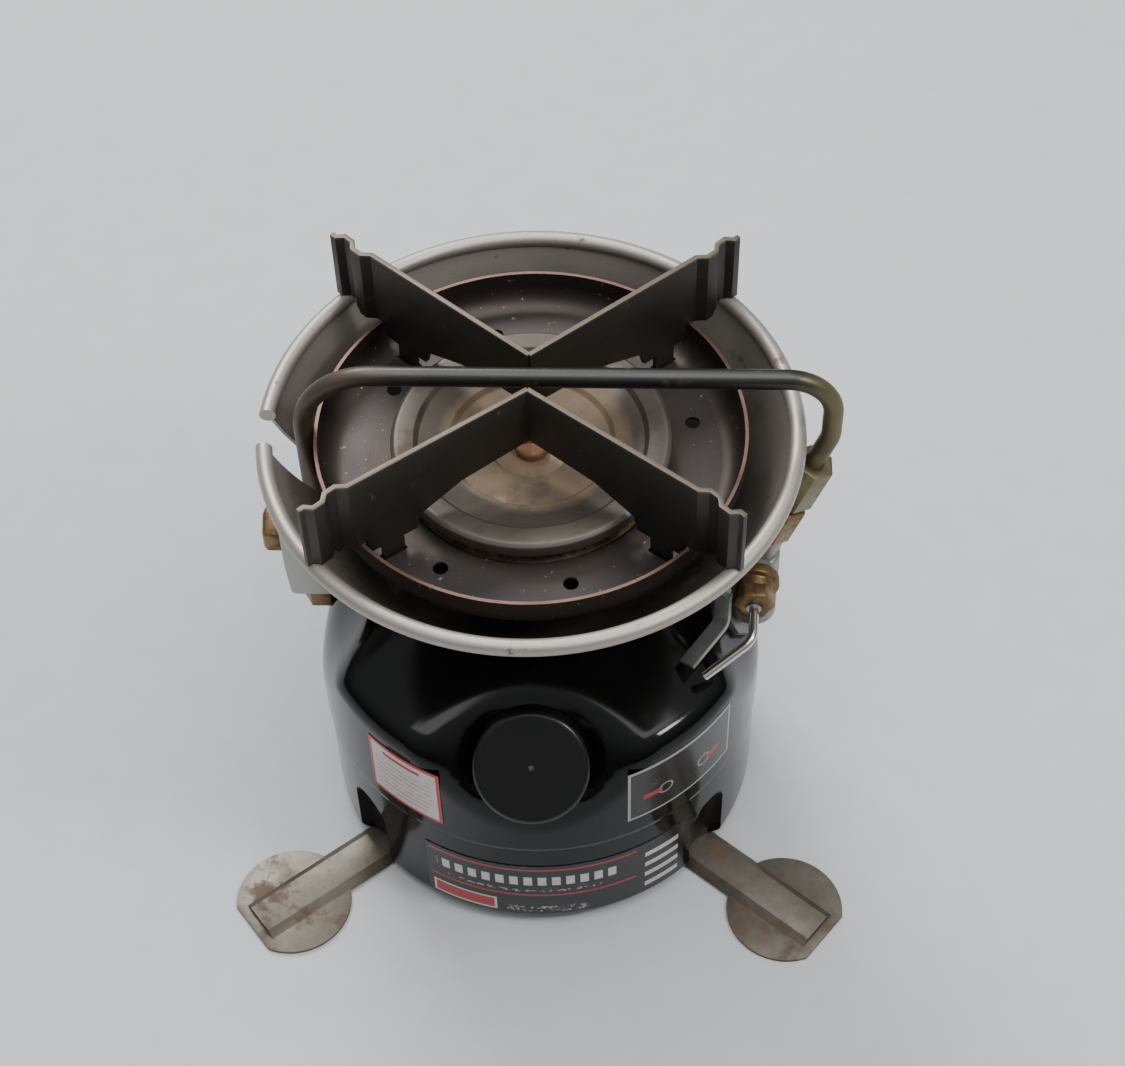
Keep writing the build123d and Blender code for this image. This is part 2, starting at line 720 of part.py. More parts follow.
def arm_plane(facing, turn, root, height):
    """Horizontal plane at an arm's root whose X runs along the arm."""
    end = outward(facing + turn * support_azimuth) * wave_start
    return Plane(origin=(root.X, root.Y, height), x_dir=end - root, z_dir=(0, 0, 1))


def reach_along(plane, radius):
    """Distance along an arm at which it is this far from the stove's axis."""
    origin = Vector(plane.origin.X, plane.origin.Y, 0)
    lead = origin.dot(plane.x_dir)
    return sqrt(lead**2 - origin.dot(origin) + radius**2) - lead


plate_flange_radius = 51.4
plate_sheet = 0.8
plate_lip_z = 136.2
plate_corner = 5.5
slot_radius = 43.0
with BuildPart() as heat_plate:
    with BuildSketch(Plane.XZ):
        with BuildLine():
            FilletPolyline(
                (33.0, plate_z + plate_sheet / 2),
                (plate_flange_radius - plate_sheet / 2, plate_z + plate_sheet / 2),
                (plate_flange_radius - plate_sheet / 2, plate_lip_z),
                radius=plate_corner,
            )
        trace(line_width=plate_sheet)
    revolve(axis=Axis.Z)
    with BuildSketch(radial_plane(15, plate_z - 1)):
        with PolarLocations(39.8, 8):
            Circle(1.8)
    extrude(amount=4, mode=Mode.SUBTRACT)
    for facing, root in support_roots.values():
        for turn in (1, -1):
            plane = arm_plane(facing, turn, root, plate_z - 1)
            with BuildSketch(plane):
                with Locations((reach_along(plane, slot_radius), 0)):
                    Rectangle(6.6, support_sheet + 0.8)
            extrude(amount=4, mode=Mode.SUBTRACT)
save(heat_plate.part, "heat_plate")

ring_inner = 26.6
ring_outer = 31.8
flat_ring = 0.6
wavy_ring = 2.4
waves = 30
with BuildPart() as burner_rings_flat:
    for level in range(4):
        with BuildSketch(Plane.XY.offset(ring_floor_z + level * (flat_ring + wavy_ring))):
            Circle(ring_outer)
            Circle(ring_inner, mode=Mode.SUBTRACT)
        extrude(amount=flat_ring)
save(burner_rings_flat.part, "burner_rings_flat")

with BuildPart() as burner_rings_wavy:
    for level in range(3):
        low = ring_floor_z + flat_ring + level * (flat_ring + wavy_ring)
        with BuildSketch(Plane.XY.offset(low)):
            Circle(ring_outer - 0.3)
            Circle(ring_inner + 0.3, mode=Mode.SUBTRACT)
        extrude(amount=wavy_ring)
        for start, base in ((0, low + 0.5), (180 / waves, low - 0.1)):
            with BuildSketch(Plane.XY.offset(base)):
                with PolarLocations((ring_inner + ring_outer) / 2, waves, start_angle=start):
                    Rectangle(8, 2.3)
            extrude(amount=wavy_ring - 0.4, mode=Mode.SUBTRACT)
save(burner_rings_wavy.part, "burner_rings_wavy")

cap_edge_radius = 33.5
cap_z = ring_floor_z + 4 * flat_ring + 3 * wavy_ring
with BuildPart() as burner_cap:
    with BuildSketch(Plane.XZ):
        with BuildLine():
            Polyline(
                (0, 126.8),
                (9, 126.9),
                (11, 128.0),
                (19, 128.8),
                (21, 130.0),
                (25, 130.4),
                (26, cap_z),
                (32.2, cap_z),
                (32.2, cap_z - 1.2),
                (cap_edge_radius, cap_z - 1.2),
                (cap_edge_radius, cap_z + 1.6),
                (cap_edge_radius - 1.0, cap_z + 2.4),
                (28, cap_z + 2.4),
                (27, cap_z + 1.2),
                (20, cap_z + 0.6),
                (19, cap_z - 0.6),
                (10, cap_z - 1.4),
                (9, cap_z - 2.9),
                (0, cap_z - 2.9),
                close=True,
            )
        make_face()
    revolve(axis=Axis.Z)
    with BuildSketch(Plane.XY.offset(120)):
        Circle(1.5)
    extrude(amount=20, mode=Mode.SUBTRACT)
save(burner_cap.part, "burner_cap")

with BuildPart() as burner_screw:
    with BuildSketch(Plane.XY.offset(cap_z - 2.9)):
        Circle(4.0)
    extrude(amount=2.4)
    fillet(edges().group_by(Axis.Z)[-1], radius=1.0)
    with BuildSketch(Plane.XY.offset(cap_z - 1.5)):
        Rectangle(9, 1.1)
    extrude(amount=3, mode=Mode.SUBTRACT)
    with BuildSketch(Plane.XY.offset(113)):
        Circle(1.5)
    extrude(amount=cap_z - 2.9 - 113)
save(burner_screw.part, "burner_screw")

bracket_sheet = 1.5
with BuildPart() as burner_bracket:
    with BuildSketch(Plane.XY.offset(dome_top_z)):
        RectangleRounded(48, 18, 5)
        with GridLocations(36, 0, 2, 1):
            Circle(1.6, mode=Mode.SUBTRACT)
    extrude(amount=bracket_sheet)
    with BuildSketch(Plane.XY.offset(dome_top_z + bracket_sheet)):
        Circle(8.0)
    extrude(amount=88 - dome_top_z - bracket_sheet)
save(burner_bracket.part, "burner_bracket")

with BuildPart() as bracket_screws:
    with BuildSketch(Plane.XY.offset(dome_top_z + bracket_sheet)):
        with GridLocations(36, 0, 2, 1):
            Circle(3.2)
    extrude(amount=1.8)
    with BuildSketch(Plane.XY.offset(dome_top_z)):
        with GridLocations(36, 0, 2, 1):
            Circle(1.6)
    extrude(amount=bracket_sheet)
save(bracket_screws.part, "bracket_screws")

# ---------------------------------------------------------------- pot supports
# Underside of an arm as (radius, height): over the cap, into the plate, on the bowl's rim.
support_underside = [
    (0, 141.0),
    (24, 139.5),
    (35.5, 135.6),
    (36.5, 131.5),
    (slot_radius - 2.8, 131.5),
    (slot_radius - 2.8, 123.5),
    (slot_radius + 2.8, 123.5),
    (slot_radius + 2.8, 131.5),
    (49.5, 132.0),
    (49.5, 136.3),
    (56.5, 136.3),
    (57.5, rim_z + 0.05),
    (70, rim_z + 0.05),
    (70, 118),
    (0, 118),
]
support_reach = bowl_radius - 0.2


def arm_points(azimuth, root, turn):
    """Plan of one arm's middle line, out from its root, wavy over the rim."""
    along = outward(azimuth)
    side = across(azimuth) * turn
    stations = [(wave_start, 0), (54.6, wave_depth), (57.4, wave_depth), (59.2, 0.1), (61.8, 0.1),
                (63.2, wave_depth), (support_reach, wave_depth)]
    return [root] + [along * reach + side * shift for reach, shift in stations]


for side_name, (facing, root) in support_roots.items():
    with BuildPart() as support:
        for turn in (1, -1):
            azimuth = facing + turn * support_azimuth
            with BuildSketch(Plane.XY.offset(118)):
                with BuildLine():
                    Polyline(*arm_points(azimuth, root, turn))
                trace(line_width=support_sheet)
            extrude(amount=support_top_z - 118)
        with BuildSketch(Plane.XZ):
            with BuildLine():
                Polyline(*support_underside, close=True)
            make_face()
        revolve(axis=Axis.Z, mode=Mode.SUBTRACT)
        # nothing of the strip may reach the generator between the two halves
        with BuildSketch(Plane.YZ.offset(-20)):
            with Locations((0, tube_z)):
                Rectangle(2 * tube_radius + 1.6, 60)
        extrude(amount=40, mode=Mode.SUBTRACT)
    save(support.part, f"pot_support_{side_name}")
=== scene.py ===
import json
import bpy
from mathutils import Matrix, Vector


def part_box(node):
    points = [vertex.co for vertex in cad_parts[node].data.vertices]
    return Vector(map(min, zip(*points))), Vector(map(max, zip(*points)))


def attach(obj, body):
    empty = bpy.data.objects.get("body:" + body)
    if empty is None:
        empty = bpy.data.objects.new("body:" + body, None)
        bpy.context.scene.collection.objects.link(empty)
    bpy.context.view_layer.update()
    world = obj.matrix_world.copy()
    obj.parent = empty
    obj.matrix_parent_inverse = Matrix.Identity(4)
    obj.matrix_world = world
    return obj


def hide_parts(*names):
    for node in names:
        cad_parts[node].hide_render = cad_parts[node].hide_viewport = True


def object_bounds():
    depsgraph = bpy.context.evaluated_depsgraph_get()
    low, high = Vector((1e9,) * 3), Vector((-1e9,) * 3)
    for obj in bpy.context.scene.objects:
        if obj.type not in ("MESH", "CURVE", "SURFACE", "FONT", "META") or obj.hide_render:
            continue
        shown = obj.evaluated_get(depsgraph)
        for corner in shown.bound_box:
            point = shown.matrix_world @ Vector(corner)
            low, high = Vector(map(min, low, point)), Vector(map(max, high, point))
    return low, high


bl_info = {
    "name": "Camp stove looks",
    "version": (1, 0, 0),
    "blender": (4, 5, 0),
    "location": "3D View > Sidebar > Stove",
    "description": "Finishes a single-burner camp stove: enamel, burnt steel, fittings and a plain stage",
    "category": "Object",
}

from math import atan2, cos, pi, radians, sin, sqrt

import bmesh
import bpy
from mathutils import Matrix, Vector

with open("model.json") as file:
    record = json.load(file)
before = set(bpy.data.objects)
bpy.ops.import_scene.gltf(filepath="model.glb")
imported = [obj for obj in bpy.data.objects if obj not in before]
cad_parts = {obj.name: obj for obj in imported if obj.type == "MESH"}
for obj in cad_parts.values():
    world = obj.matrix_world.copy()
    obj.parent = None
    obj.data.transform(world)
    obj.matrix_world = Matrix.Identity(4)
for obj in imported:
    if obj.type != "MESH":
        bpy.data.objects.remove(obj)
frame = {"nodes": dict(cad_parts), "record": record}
MM = 0.001
nodes = frame["nodes"]
record = frame["record"]
cad_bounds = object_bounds()
body_of_node = {n: b for b, names in record["behaviour"]["bodies"].items() for n in names}


# ------------------------------------------------------------------ settings
class StoveFinishSettings(bpy.types.PropertyGroup):
    """Colours and wear of the finishes."""

    enamel: bpy.props.FloatVectorProperty(
        name="Enamel", description="Tank enamel", subtype="COLOR", size=3,
        default=(0.0022, 0.0024, 0.0024), min=0, max=1)
    steel: bpy.props.FloatVectorProperty(
        name="Steel", description="Clean steel of the bowl's rim", subtype="COLOR", size=3,
        default=(0.47, 0.43, 0.385), min=0, max=1)
    rust: bpy.props.FloatVectorProperty(
        name="Rust", description="Rust stains", subtype="COLOR", size=3,
        default=(0.17, 0.065, 0.025), min=0, max=1)
    brass: bpy.props.FloatVectorProperty(
        name="Brass", description="Tarnished brass", subtype="COLOR", size=3,
        default=(0.235, 0.155, 0.075), min=0, max=1)
    zinc: bpy.props.FloatVectorProperty(
        name="Zinc", description="Weathered zinc plate", subtype="COLOR", size=3,
        default=(0.115, 0.102, 0.082), min=0, max=1)
    sign_red: bpy.props.FloatVectorProperty(
        name="Print red", description="Red of the printed panels", subtype="COLOR", size=3,
        default=(0.42, 0.03, 0.035), min=0, max=1)


class StoveShapeSettings(bpy.types.PropertyGroup):
    """Shapes that the looks refine."""

    ridge_softness: bpy.props.FloatProperty(
        name="Ridge softness",
        description="How round the tank's pressed ridges are, as a share of the radius",
        default=0.11, min=0.01, max=0.3)
    shell_sheet: bpy.props.FloatProperty(
        name="Tank sheet", description="Thickness of the tank's upper half", unit="LENGTH",
        default=0.9 * MM, min=0.0002, max=0.003)
    waves: bpy.props.IntProperty(
        name="Ring waves", description="Waves round each corrugated burner ring", default=34, min=12, max=60)
    wave_height: bpy.props.FloatProperty(
        name="Wave height", description="Half the height of the ring waves", unit="LENGTH",
        default=0.85 * MM, min=0.0002, max=0.0012)


class StoveStageSettings(bpy.types.PropertyGroup):
    """Camera and light."""

    camera_place: bpy.props.FloatVectorProperty(
        name="Camera place", description="Where the camera stands", subtype="TRANSLATION", unit="LENGTH",
        size=3, default=(0.0253, -0.3614, 0.5629))
    camera_heading: bpy.props.FloatProperty(
        name="Heading", description="Turn of the view from +Y towards +X", subtype="ANGLE",
        default=radians(-2.94))
    camera_pitch: bpy.props.FloatProperty(
        name="Pitch", description="How far the camera looks down", subtype="ANGLE", default=radians(52.22))
    camera_roll: bpy.props.FloatProperty(
        name="Roll", description="Tilt of the camera about its own axis", subtype="ANGLE",
        default=radians(-1.71))
    camera_lens: bpy.props.FloatProperty(
        name="Lens", description="Focal length on a 36 mm wide sensor, in millimetres", default=75.75,
        min=20, max=200)
    key_power: bpy.props.FloatProperty(
        name="Key light", description="Power of the main soft light, in watts", default=10.0, min=0, max=200)
    room_light: bpy.props.FloatProperty(
        name="Room light", description="Strength of the even light from all round", default=0.9,
        min=0, max=5)


# ------------------------------------------------------------------ shader groups
def make_group(name, inputs, outputs):
    """An empty shader group; inputs and outputs are (name, socket type, default) and (name, type)."""
    group = bpy.data.node_groups.new(name, "ShaderNodeTree")
    for socket_name, kind, default in inputs:
        socket = group.interface.new_socket(socket_name, in_out="INPUT", socket_type=kind)
        if default is not None:
            socket.default_value = default
    for socket_name, kind in outputs:
        group.interface.new_socket(socket_name, in_out="OUTPUT", socket_type=kind)
    return group, group.nodes.new("NodeGroupInput"), group.nodes.new("NodeGroupOutput")


FLOAT, VECTOR = "NodeSocketFloat", "NodeSocketVector"


def math_node(tree, operation, first, second=None, clamp=False):
    """A Math node; each operand is a number or a socket."""
    node = tree.nodes.new("ShaderNodeMath")
    node.operation = operation
    node.use_clamp = clamp
    for socket, value in zip(node.inputs, (first, second)):
        if value is None:
            continue
        if isinstance(value, (int, float)):
            socket.default_value = value
        else:
            tree.links.new(value, socket)
    return node.outputs[0]


def patches_group():
    """Irregular patches: Mask is 1 inside them."""
    inputs = [("Vector", VECTOR, None), ("Scale", FLOAT, 100.0), ("Coverage", FLOAT, 0.4),
              ("Softness", FLOAT, 0.1), ("Detail", FLOAT, 6.0)]
    group, source, sink = make_group("Patches", inputs, [("Mask", FLOAT)])
    noise = group.nodes.new("ShaderNodeTexNoise")
    noise.inputs["Roughness"].default_value = 0.62
    group.links.new(source.outputs["Vector"], noise.inputs["Vector"])
    group.links.new(source.outputs["Scale"], noise.inputs["Scale"])
    group.links.new(source.outputs["Detail"], noise.inputs["Detail"])
    edge = math_node(group, "SUBTRACT", 1.0, source.outputs["Coverage"])
    above = math_node(group, "SUBTRACT", noise.outputs[0], edge)
    mask = math_node(group, "DIVIDE", above, source.outputs["Softness"], clamp=True)
    group.links.new(mask, sink.inputs["Mask"])
    return group


def grain_group():
    """Fine drawn or spun grain: a height that varies quickly across and slowly along."""
    inputs = [("Vector", VECTOR, None), ("Scale", FLOAT, 1500.0), ("Stretch", VECTOR, (1, 1, 1))]
    group, source, sink = make_group("Grain", inputs, [("Height", FLOAT)])
    stretch = group.nodes.new("ShaderNodeVectorMath")
    stretch.operation = "MULTIPLY"
    group.links.new(source.outputs["Vector"], stretch.inputs[0])
    group.links.new(source.outputs["Stretch"], stretch.inputs[1])
    noise = group.nodes.new("ShaderNodeTexNoise")
    noise.inputs["Detail"].default_value = 4.0
    group.links.new(stretch.outputs[0], noise.inputs["Vector"])
    group.links.new(source.outputs["Scale"], noise.inputs["Scale"])
    group.links.new(noise.outputs[0], sink.inputs["Height"])
    return group


def round_coordinates_group():
    """Radius and height in millimetres, and azimuth in degrees, 0 at the front and 90 on the right."""
    outputs = [("Radius", FLOAT), ("Height", FLOAT), ("Azimuth", FLOAT), ("Spun", VECTOR)]
    group, source, sink = make_group("Round coordinates", [("Vector", VECTOR, None)], outputs)
    parts = group.nodes.new("ShaderNodeSeparateXYZ")
    group.links.new(source.outputs["Vector"], parts.inputs[0])
    x, y, z = parts.outputs
    square = math_node(group, "ADD", math_node(group, "MULTIPLY", x, x), math_node(group, "MULTIPLY", y, y))
    radius = math_node(group, "MULTIPLY", math_node(group, "SQRT", square), 1000.0)
    height = math_node(group, "MULTIPLY", z, 1000.0)
    angle = math_node(group, "ARCTAN2", x, math_node(group, "MULTIPLY", y, -1.0))
    azimuth = math_node(group, "MULTIPLY", angle, 180 / pi)
    spun = group.nodes.new("ShaderNodeCombineXYZ")
    group.links.new(radius, spun.inputs[0])
    group.links.new(math_node(group, "MULTIPLY", math_node(group, "COSINE", angle), 1.5), spun.inputs[1])
    group.links.new(height, spun.inputs[2])
    for name, value in (("Radius", radius), ("Height", height), ("Azimuth", azimuth)):
        group.links.new(value, sink.inputs[name])
    group.links.new(spun.outputs[0], sink.inputs["Spun"])
    return group


def band_group():
    """1 where Value lies between Low and High, with soft ends."""
    inputs = [("Value", FLOAT, 0.0), ("Low", FLOAT, 0.0), ("High", FLOAT, 1.0), ("Soft", FLOAT, 0.1)]
    group, source, sink = make_group("Band", inputs, [("Mask", FLOAT)])
    rise = math_node(group, "SUBTRACT", source.outputs["Value"], source.outputs["Low"])
    fall = math_node(group, "SUBTRACT", source.outputs["High"], source.outputs["Value"])
    rise = math_node(group, "DIVIDE", rise, source.outputs["Soft"], clamp=True)
    fall = math_node(group, "DIVIDE", fall, source.outputs["Soft"], clamp=True)
    group.links.new(math_node(group, "MULTIPLY", rise, fall), sink.inputs["Mask"])
    return group


def dust_group():
    """Dust that settles on what faces up, in clouds and specks."""
    inputs = [("Vector", VECTOR, None), ("Amount", FLOAT, 0.3)]
    group, source, sink = make_group("Dust", inputs, [("Mask", FLOAT)])
    geometry = group.nodes.new("ShaderNodeNewGeometry")
    parts = group.nodes.new("ShaderNodeSeparateXYZ")
    group.links.new(geometry.outputs["Normal"], parts.inputs[0])
    upward = math_node(group, "MAXIMUM", parts.outputs[2], 0.0)
    cloud = group.nodes.new("ShaderNodeTexNoise")
    cloud.inputs["Scale"].default_value = 60.0
    cloud.inputs["Detail"].default_value = 8.0
    speck = group.nodes.new("ShaderNodeTexNoise")
    speck.inputs["Scale"].default_value = 2200.0
    for noise in (cloud, speck):
        group.links.new(source.outputs["Vector"], noise.inputs["Vector"])
    fine = math_node(group, "MULTIPLY", math_node(group, "SUBTRACT", speck.outputs[0], 0.42), 4.0, clamp=True)
    both = math_node(group, "MULTIPLY", math_node(group, "MULTIPLY", cloud.outputs[0], fine), upward)
    mask = math_node(group, "MULTIPLY", both, source.outputs["Amount"], clamp=True)
    group.links.new(mask, sink.inputs["Mask"])
    return group


shader_groups = {}


def shader_group(name):
    """The shared group of this name, built on first use."""
    makers = {"Patches": patches_group, "Grain": grain_group, "Round coordinates": round_coordinates_group,
              "Band": band_group, "Dust": dust_group}
    if name not in shader_groups:
        shader_groups[name] = makers[name]()
    return shader_groups[name]


# ------------------------------------------------------------------ a finish being mixed
class Finish:
    """One material, with the few moves that all of them are mixed from."""

    def __init__(self, name, colour, roughness, metallic=0.0):
        self.material = bpy.data.materials.new(name)
        self.material.use_nodes = True
        self.tree = self.material.node_tree
        self.shader = self.tree.nodes["Principled BSDF"]
        self.shader.inputs["Metallic"].default_value = metallic
        self.coords = self.tree.nodes.new("ShaderNodeTexCoord").outputs["Object"]
        self.colour = self.plain(colour)
        self.roughness = roughness
        self.metal = metallic
        self.height = None

    def plain(self, colour):
        """A colour with a very slight cloudiness, so no finish is perfectly even."""
        noise = self.noise(90.0, 3.0)
        return self.mix(tuple(c * 0.93 for c in colour), tuple(min(c * 1.07, 1) for c in colour), noise)

    def noise(self, scale, detail=5.0, vector=None):
        """Cloudy noise from 0 to 1."""
        node = self.tree.nodes.new("ShaderNodeTexNoise")
        node.inputs["Scale"].default_value = scale
        node.inputs["Detail"].default_value = detail
        self.tree.links.new(vector or self.coords, node.inputs["Vector"])
        return node.outputs[0]

    def use(self, group, **values):
        """Places a shared group; values are numbers, vectors or sockets."""
        node = self.tree.nodes.new("ShaderNodeGroup")
        node.node_tree = shader_group(group)
        if "Vector" in node.inputs:
            values.setdefault("Vector", self.coords)
        for key, value in values.items():
            if isinstance(value, bpy.types.NodeSocket):
                self.tree.links.new(value, node.inputs[key])
            else:
                node.inputs[key].default_value = value
        return node.outputs

    def patches(self, scale, coverage, softness=0.08, detail=6.0, vector=None):
        """Mask of irregular patches."""
        return self.use("Patches", Vector=vector or self.coords, Scale=scale, Coverage=coverage,
                        Softness=softness, Detail=detail)["Mask"]

    def band(self, value, low, high, soft=0.2):
        """Mask that is 1 where value lies between low and high."""
        return self.use("Band", Value=value, Low=low, High=high, Soft=soft)["Mask"]

    def math(self, operation, first, second=None, clamp=False):
        """Math on numbers or sockets."""
        return math_node(self.tree, operation, first, second, clamp)

    def mix(self, first, second, factor):
        """Blends two colours; each is a colour or a socket."""
        node = self.tree.nodes.new("ShaderNodeMix")
        node.data_type = "RGBA"
        for index, value in ((6, first), (7, second)):
            if isinstance(value, bpy.types.NodeSocket):
                self.tree.links.new(value, node.inputs[index])
            else:
                node.inputs[index].default_value = (*value[:3], 1.0)
        if isinstance(factor, bpy.types.NodeSocket):
            self.tree.links.new(factor, node.inputs[0])
        else:
            node.inputs[0].default_value = factor
        return node.outputs[2]

    def blend_value(self, first, second, factor):
        """Blends two numbers by a mask."""
        node = self.tree.nodes.new("ShaderNodeMix")
        node.data_type = "FLOAT"
        for index, value in ((0, factor), (2, first), (3, second)):
            if isinstance(value, bpy.types.NodeSocket):
                self.tree.links.new(value, node.inputs[index])
            else:
                node.inputs[index].default_value = value
        return node.outputs[0]

    def cover(self, mask, colour, roughness=None, metal=None, share=None):
        """Lays another colour, roughness and metalness over this finish by the mask, or a share of it."""
        if share is not None:
            mask = self.math("MULTIPLY", mask, share)
        self.colour = self.mix(self.colour, colour, mask)
        if roughness is not None:
            self.roughness = self.blend_value(self.roughness, roughness, mask)
        if metal is not None:
            self.metal = self.blend_value(self.metal, metal, mask)

    def vary_roughness(self, scale, amount):
        """Cloudy changes of gloss."""
        swing = self.math("MULTIPLY", self.math("SUBTRACT", self.noise(scale), 0.5), amount)
        self.roughness = self.math("ADD", self.roughness, swing, clamp=True)

    def relief(self, height, weight):
        """Adds a weighted height to the surface relief."""
        term = self.math("MULTIPLY", height, weight)
        self.height = term if self.height is None else self.math("ADD", self.height, term)

    def done(self, distance=0.00005, strength=0.5):
        """Wires the shader and gives the material."""
        links = self.tree.links
        links.new(self.colour, self.shader.inputs["Base Color"])
        for value, name in ((self.roughness, "Roughness"), (self.metal, "Metallic")):
            if isinstance(value, bpy.types.NodeSocket):
                links.new(value, self.shader.inputs[name])
            else:
                self.shader.inputs[name].default_value = value
        if self.height is not None:
            bump = self.tree.nodes.new("ShaderNodeBump")
            bump.inputs["Distance"].default_value = distance
            bump.inputs["Strength"].default_value = strength
            links.new(self.height, bump.inputs["Height"])
            links.new(bump.outputs[0], self.shader.inputs["Normal"])
        return self.material


# ------------------------------------------------------------------ finishes
def colours():
    return bpy.context.scene.stove_finish


def gloss_enamel():
    """Black tank enamel: glossy, a little dusty, with faint scuffs."""
    finish = Finish("gloss enamel", colours().enamel, 0.12)
    scuffs = finish.patches(900.0, 0.36, 0.1, 3.0)
    finish.cover(scuffs, (0.06, 0.06, 0.055), 0.4, share=0.1)
    dust = finish.use("Dust", Amount=0.035)["Mask"]
    finish.cover(dust, (0.20, 0.18, 0.15), 0.6)
    finish.vary_roughness(35.0, 0.08)
    finish.relief(finish.noise(40.0, 2.0), 1.0)
    finish.shader.inputs["Specular IOR Level"].default_value = 0.27
    return finish.done(0.0003, 0.2)


def spun_bowl_steel():
    """Bright spun rim, darker towards the bottom of the bowl."""
    finish = Finish("spun bowl steel", colours().steel, 0.46, 0.7)
    sand = finish.noise(2600.0, 2.0)
    finish.cover(sand, (0.33, 0.29, 0.25), 0.55, share=0.55)
    place = finish.use("Round coordinates")
    # darker below the rim and darker again towards the bottom of the bowl
    depth = finish.band(place["Height"], 90.0, 134.5, 9.0)
    inside = finish.math("MULTIPLY", depth, finish.math("ADD", finish.noise(55.0), 0.35, clamp=True))
    finish.cover(inside, (0.135, 0.113, 0.093), 0.48, share=0.85)
    low = finish.band(place["Height"], 80.0, 122.0, 10.0)
    finish.cover(low, (0.088, 0.074, 0.06), 0.52, share=0.8)
    below_rim = finish.band(place["Height"], 100.0, 131.0, 3.0)
    soot = finish.math("MULTIPLY", finish.patches(110.0, 0.42, 0.12), below_rim)
    finish.cover(soot, (0.035, 0.032, 0.028), 0.75, 0.3, share=0.85)
    rust = finish.patches(170.0, 0.36, 0.05, 8.0)
    finish.cover(rust, colours().rust, 0.8, 0.1, share=0.75)
    pits = finish.patches(1300.0, 0.33, 0.05)
    finish.cover(pits, (0.16, 0.14, 0.12), 0.6, share=0.5)
    grain = finish.use("Grain", Vector=place["Spun"], Scale=2.2, Stretch=(1.0, 0.25, 1.0))["Height"]
    finish.relief(grain, 0.25)
    finish.relief(sand, 1.0)
    finish.vary_roughness(70.0, 0.16)
    return finish.done(0.00008, 0.6)


def stained_plate_steel():
    """Heat plate: brown and blue temper colours, a pinkish lip and rust dots."""
    finish = Finish("stained plate steel", (0.060, 0.048, 0.042), 0.5, 0.7)
    place = finish.use("Round coordinates")
    blue = finish.math("MULTIPLY", finish.band(place["Radius"], 36.0, 47.0, 5.0), finish.noise(45.0))
    finish.cover(blue, (0.050, 0.047, 0.049), 0.46)
    brown = finish.patches(75.0, 0.46, 0.2)
    finish.cover(brown, (0.078, 0.054, 0.038), 0.58, share=0.6)
    lip = finish.band(place["Height"], 135.95, 140.0, 0.3)
    lip = finish.math("MULTIPLY", lip, finish.math("ADD", finish.noise(120.0), 0.2, clamp=True))
    finish.cover(lip, (0.235, 0.125, 0.10), 0.42)
    dots = finish.patches(650.0, 0.335, 0.03)
    finish.cover(dots, (0.34, 0.27, 0.20), 0.7, 0.3)
    soot = finish.patches(60.0, 0.40, 0.15)
    finish.cover(soot, (0.05, 0.046, 0.043), 0.7, share=0.55)
    grain = finish.use("Grain", Vector=place["Spun"], Scale=1.6, Stretch=(1.0, 0.3, 1.0))["Height"]
    finish.relief(grain, 0.6)
    finish.relief(finish.noise(1500.0), 0.6)
    finish.vary_roughness(60.0, 0.2)
    return finish.done(0.00006, 0.5)


def burnt_cap_steel():
    """Burner cap: grey outer steps, a tan scaled middle and rust round the screw."""
    finish = Finish("burnt cap steel", (0.098, 0.083, 0.068), 0.52, 0.6)
    place = finish.use("Round coordinates")
    ragged = finish.math("ADD", place["Radius"], finish.math("MULTIPLY", finish.noise(70.0), 9.0))
    middle = finish.band(ragged, -50.0, 27.5, 2.5)
    finish.cover(middle, (0.185, 0.135, 0.088), 0.76, 0.25)
    pale = finish.math("MULTIPLY", middle, finish.patches(70.0, 0.42, 0.12))
    finish.cover(pale, (0.36, 0.29, 0.205), 0.8, 0.1)
    smoke = finish.patches(48.0, 0.47, 0.12)
    finish.cover(smoke, (0.07, 0.055, 0.042), 0.68, share=0.85)
    screw_rust = finish.band(ragged, -50.0, 10.5, 2.0)
    finish.cover(screw_rust, (0.20, 0.10, 0.05), 0.8, 0.1, share=0.65)
    edge = finish.band(place["Radius"], 31.5, 40.0, 1.0)
    finish.cover(edge, (0.15, 0.13, 0.115), 0.45, share=0.6)
    specks = finish.patches(700.0, 0.36, 0.05)
    finish.cover(specks, (0.09, 0.06, 0.04), 0.8, 0.1)
    finish.relief(finish.noise(420.0, 8.0), 1.0)
    finish.relief(finish.noise(1700.0), 0.5)
    return finish.done(0.00012, 0.6)


def dull_support_steel():
    """Pot supports: dull grey sheet with brown heat haze and paler worn patches."""
    finish = Finish("dull support steel", (0.066, 0.060, 0.051), 0.5, 0.75)
    haze = finish.patches(42.0, 0.48, 0.25)
    finish.cover(haze, (0.05, 0.043, 0.036), 0.56, share=0.6)
    place = finish.use("Round coordinates")
    hot = finish.band(place["Radius"], -5.0, 26.0, 14.0)
    finish.cover(hot, (0.06, 0.046, 0.036), 0.56, share=0.5)
    top = finish.band(place["Height"], 157.2, 170.0, 0.5)
    finish.cover(top, (0.19, 0.15, 0.12), 0.4, share=0.5)
    rust = finish.patches(260.0, 0.345, 0.04, 8.0)
    finish.cover(rust, colours().rust, 0.8, 0.1, share=0.6)
    grain = finish.use("Grain", Scale=900.0, Stretch=(0.25, 0.25, 1.6))["Height"]
    finish.relief(grain, 0.7)
    finish.relief(finish.noise(1800.0), 0.5)
    finish.vary_roughness(80.0, 0.2)
    return finish.done(0.00006, 0.5)


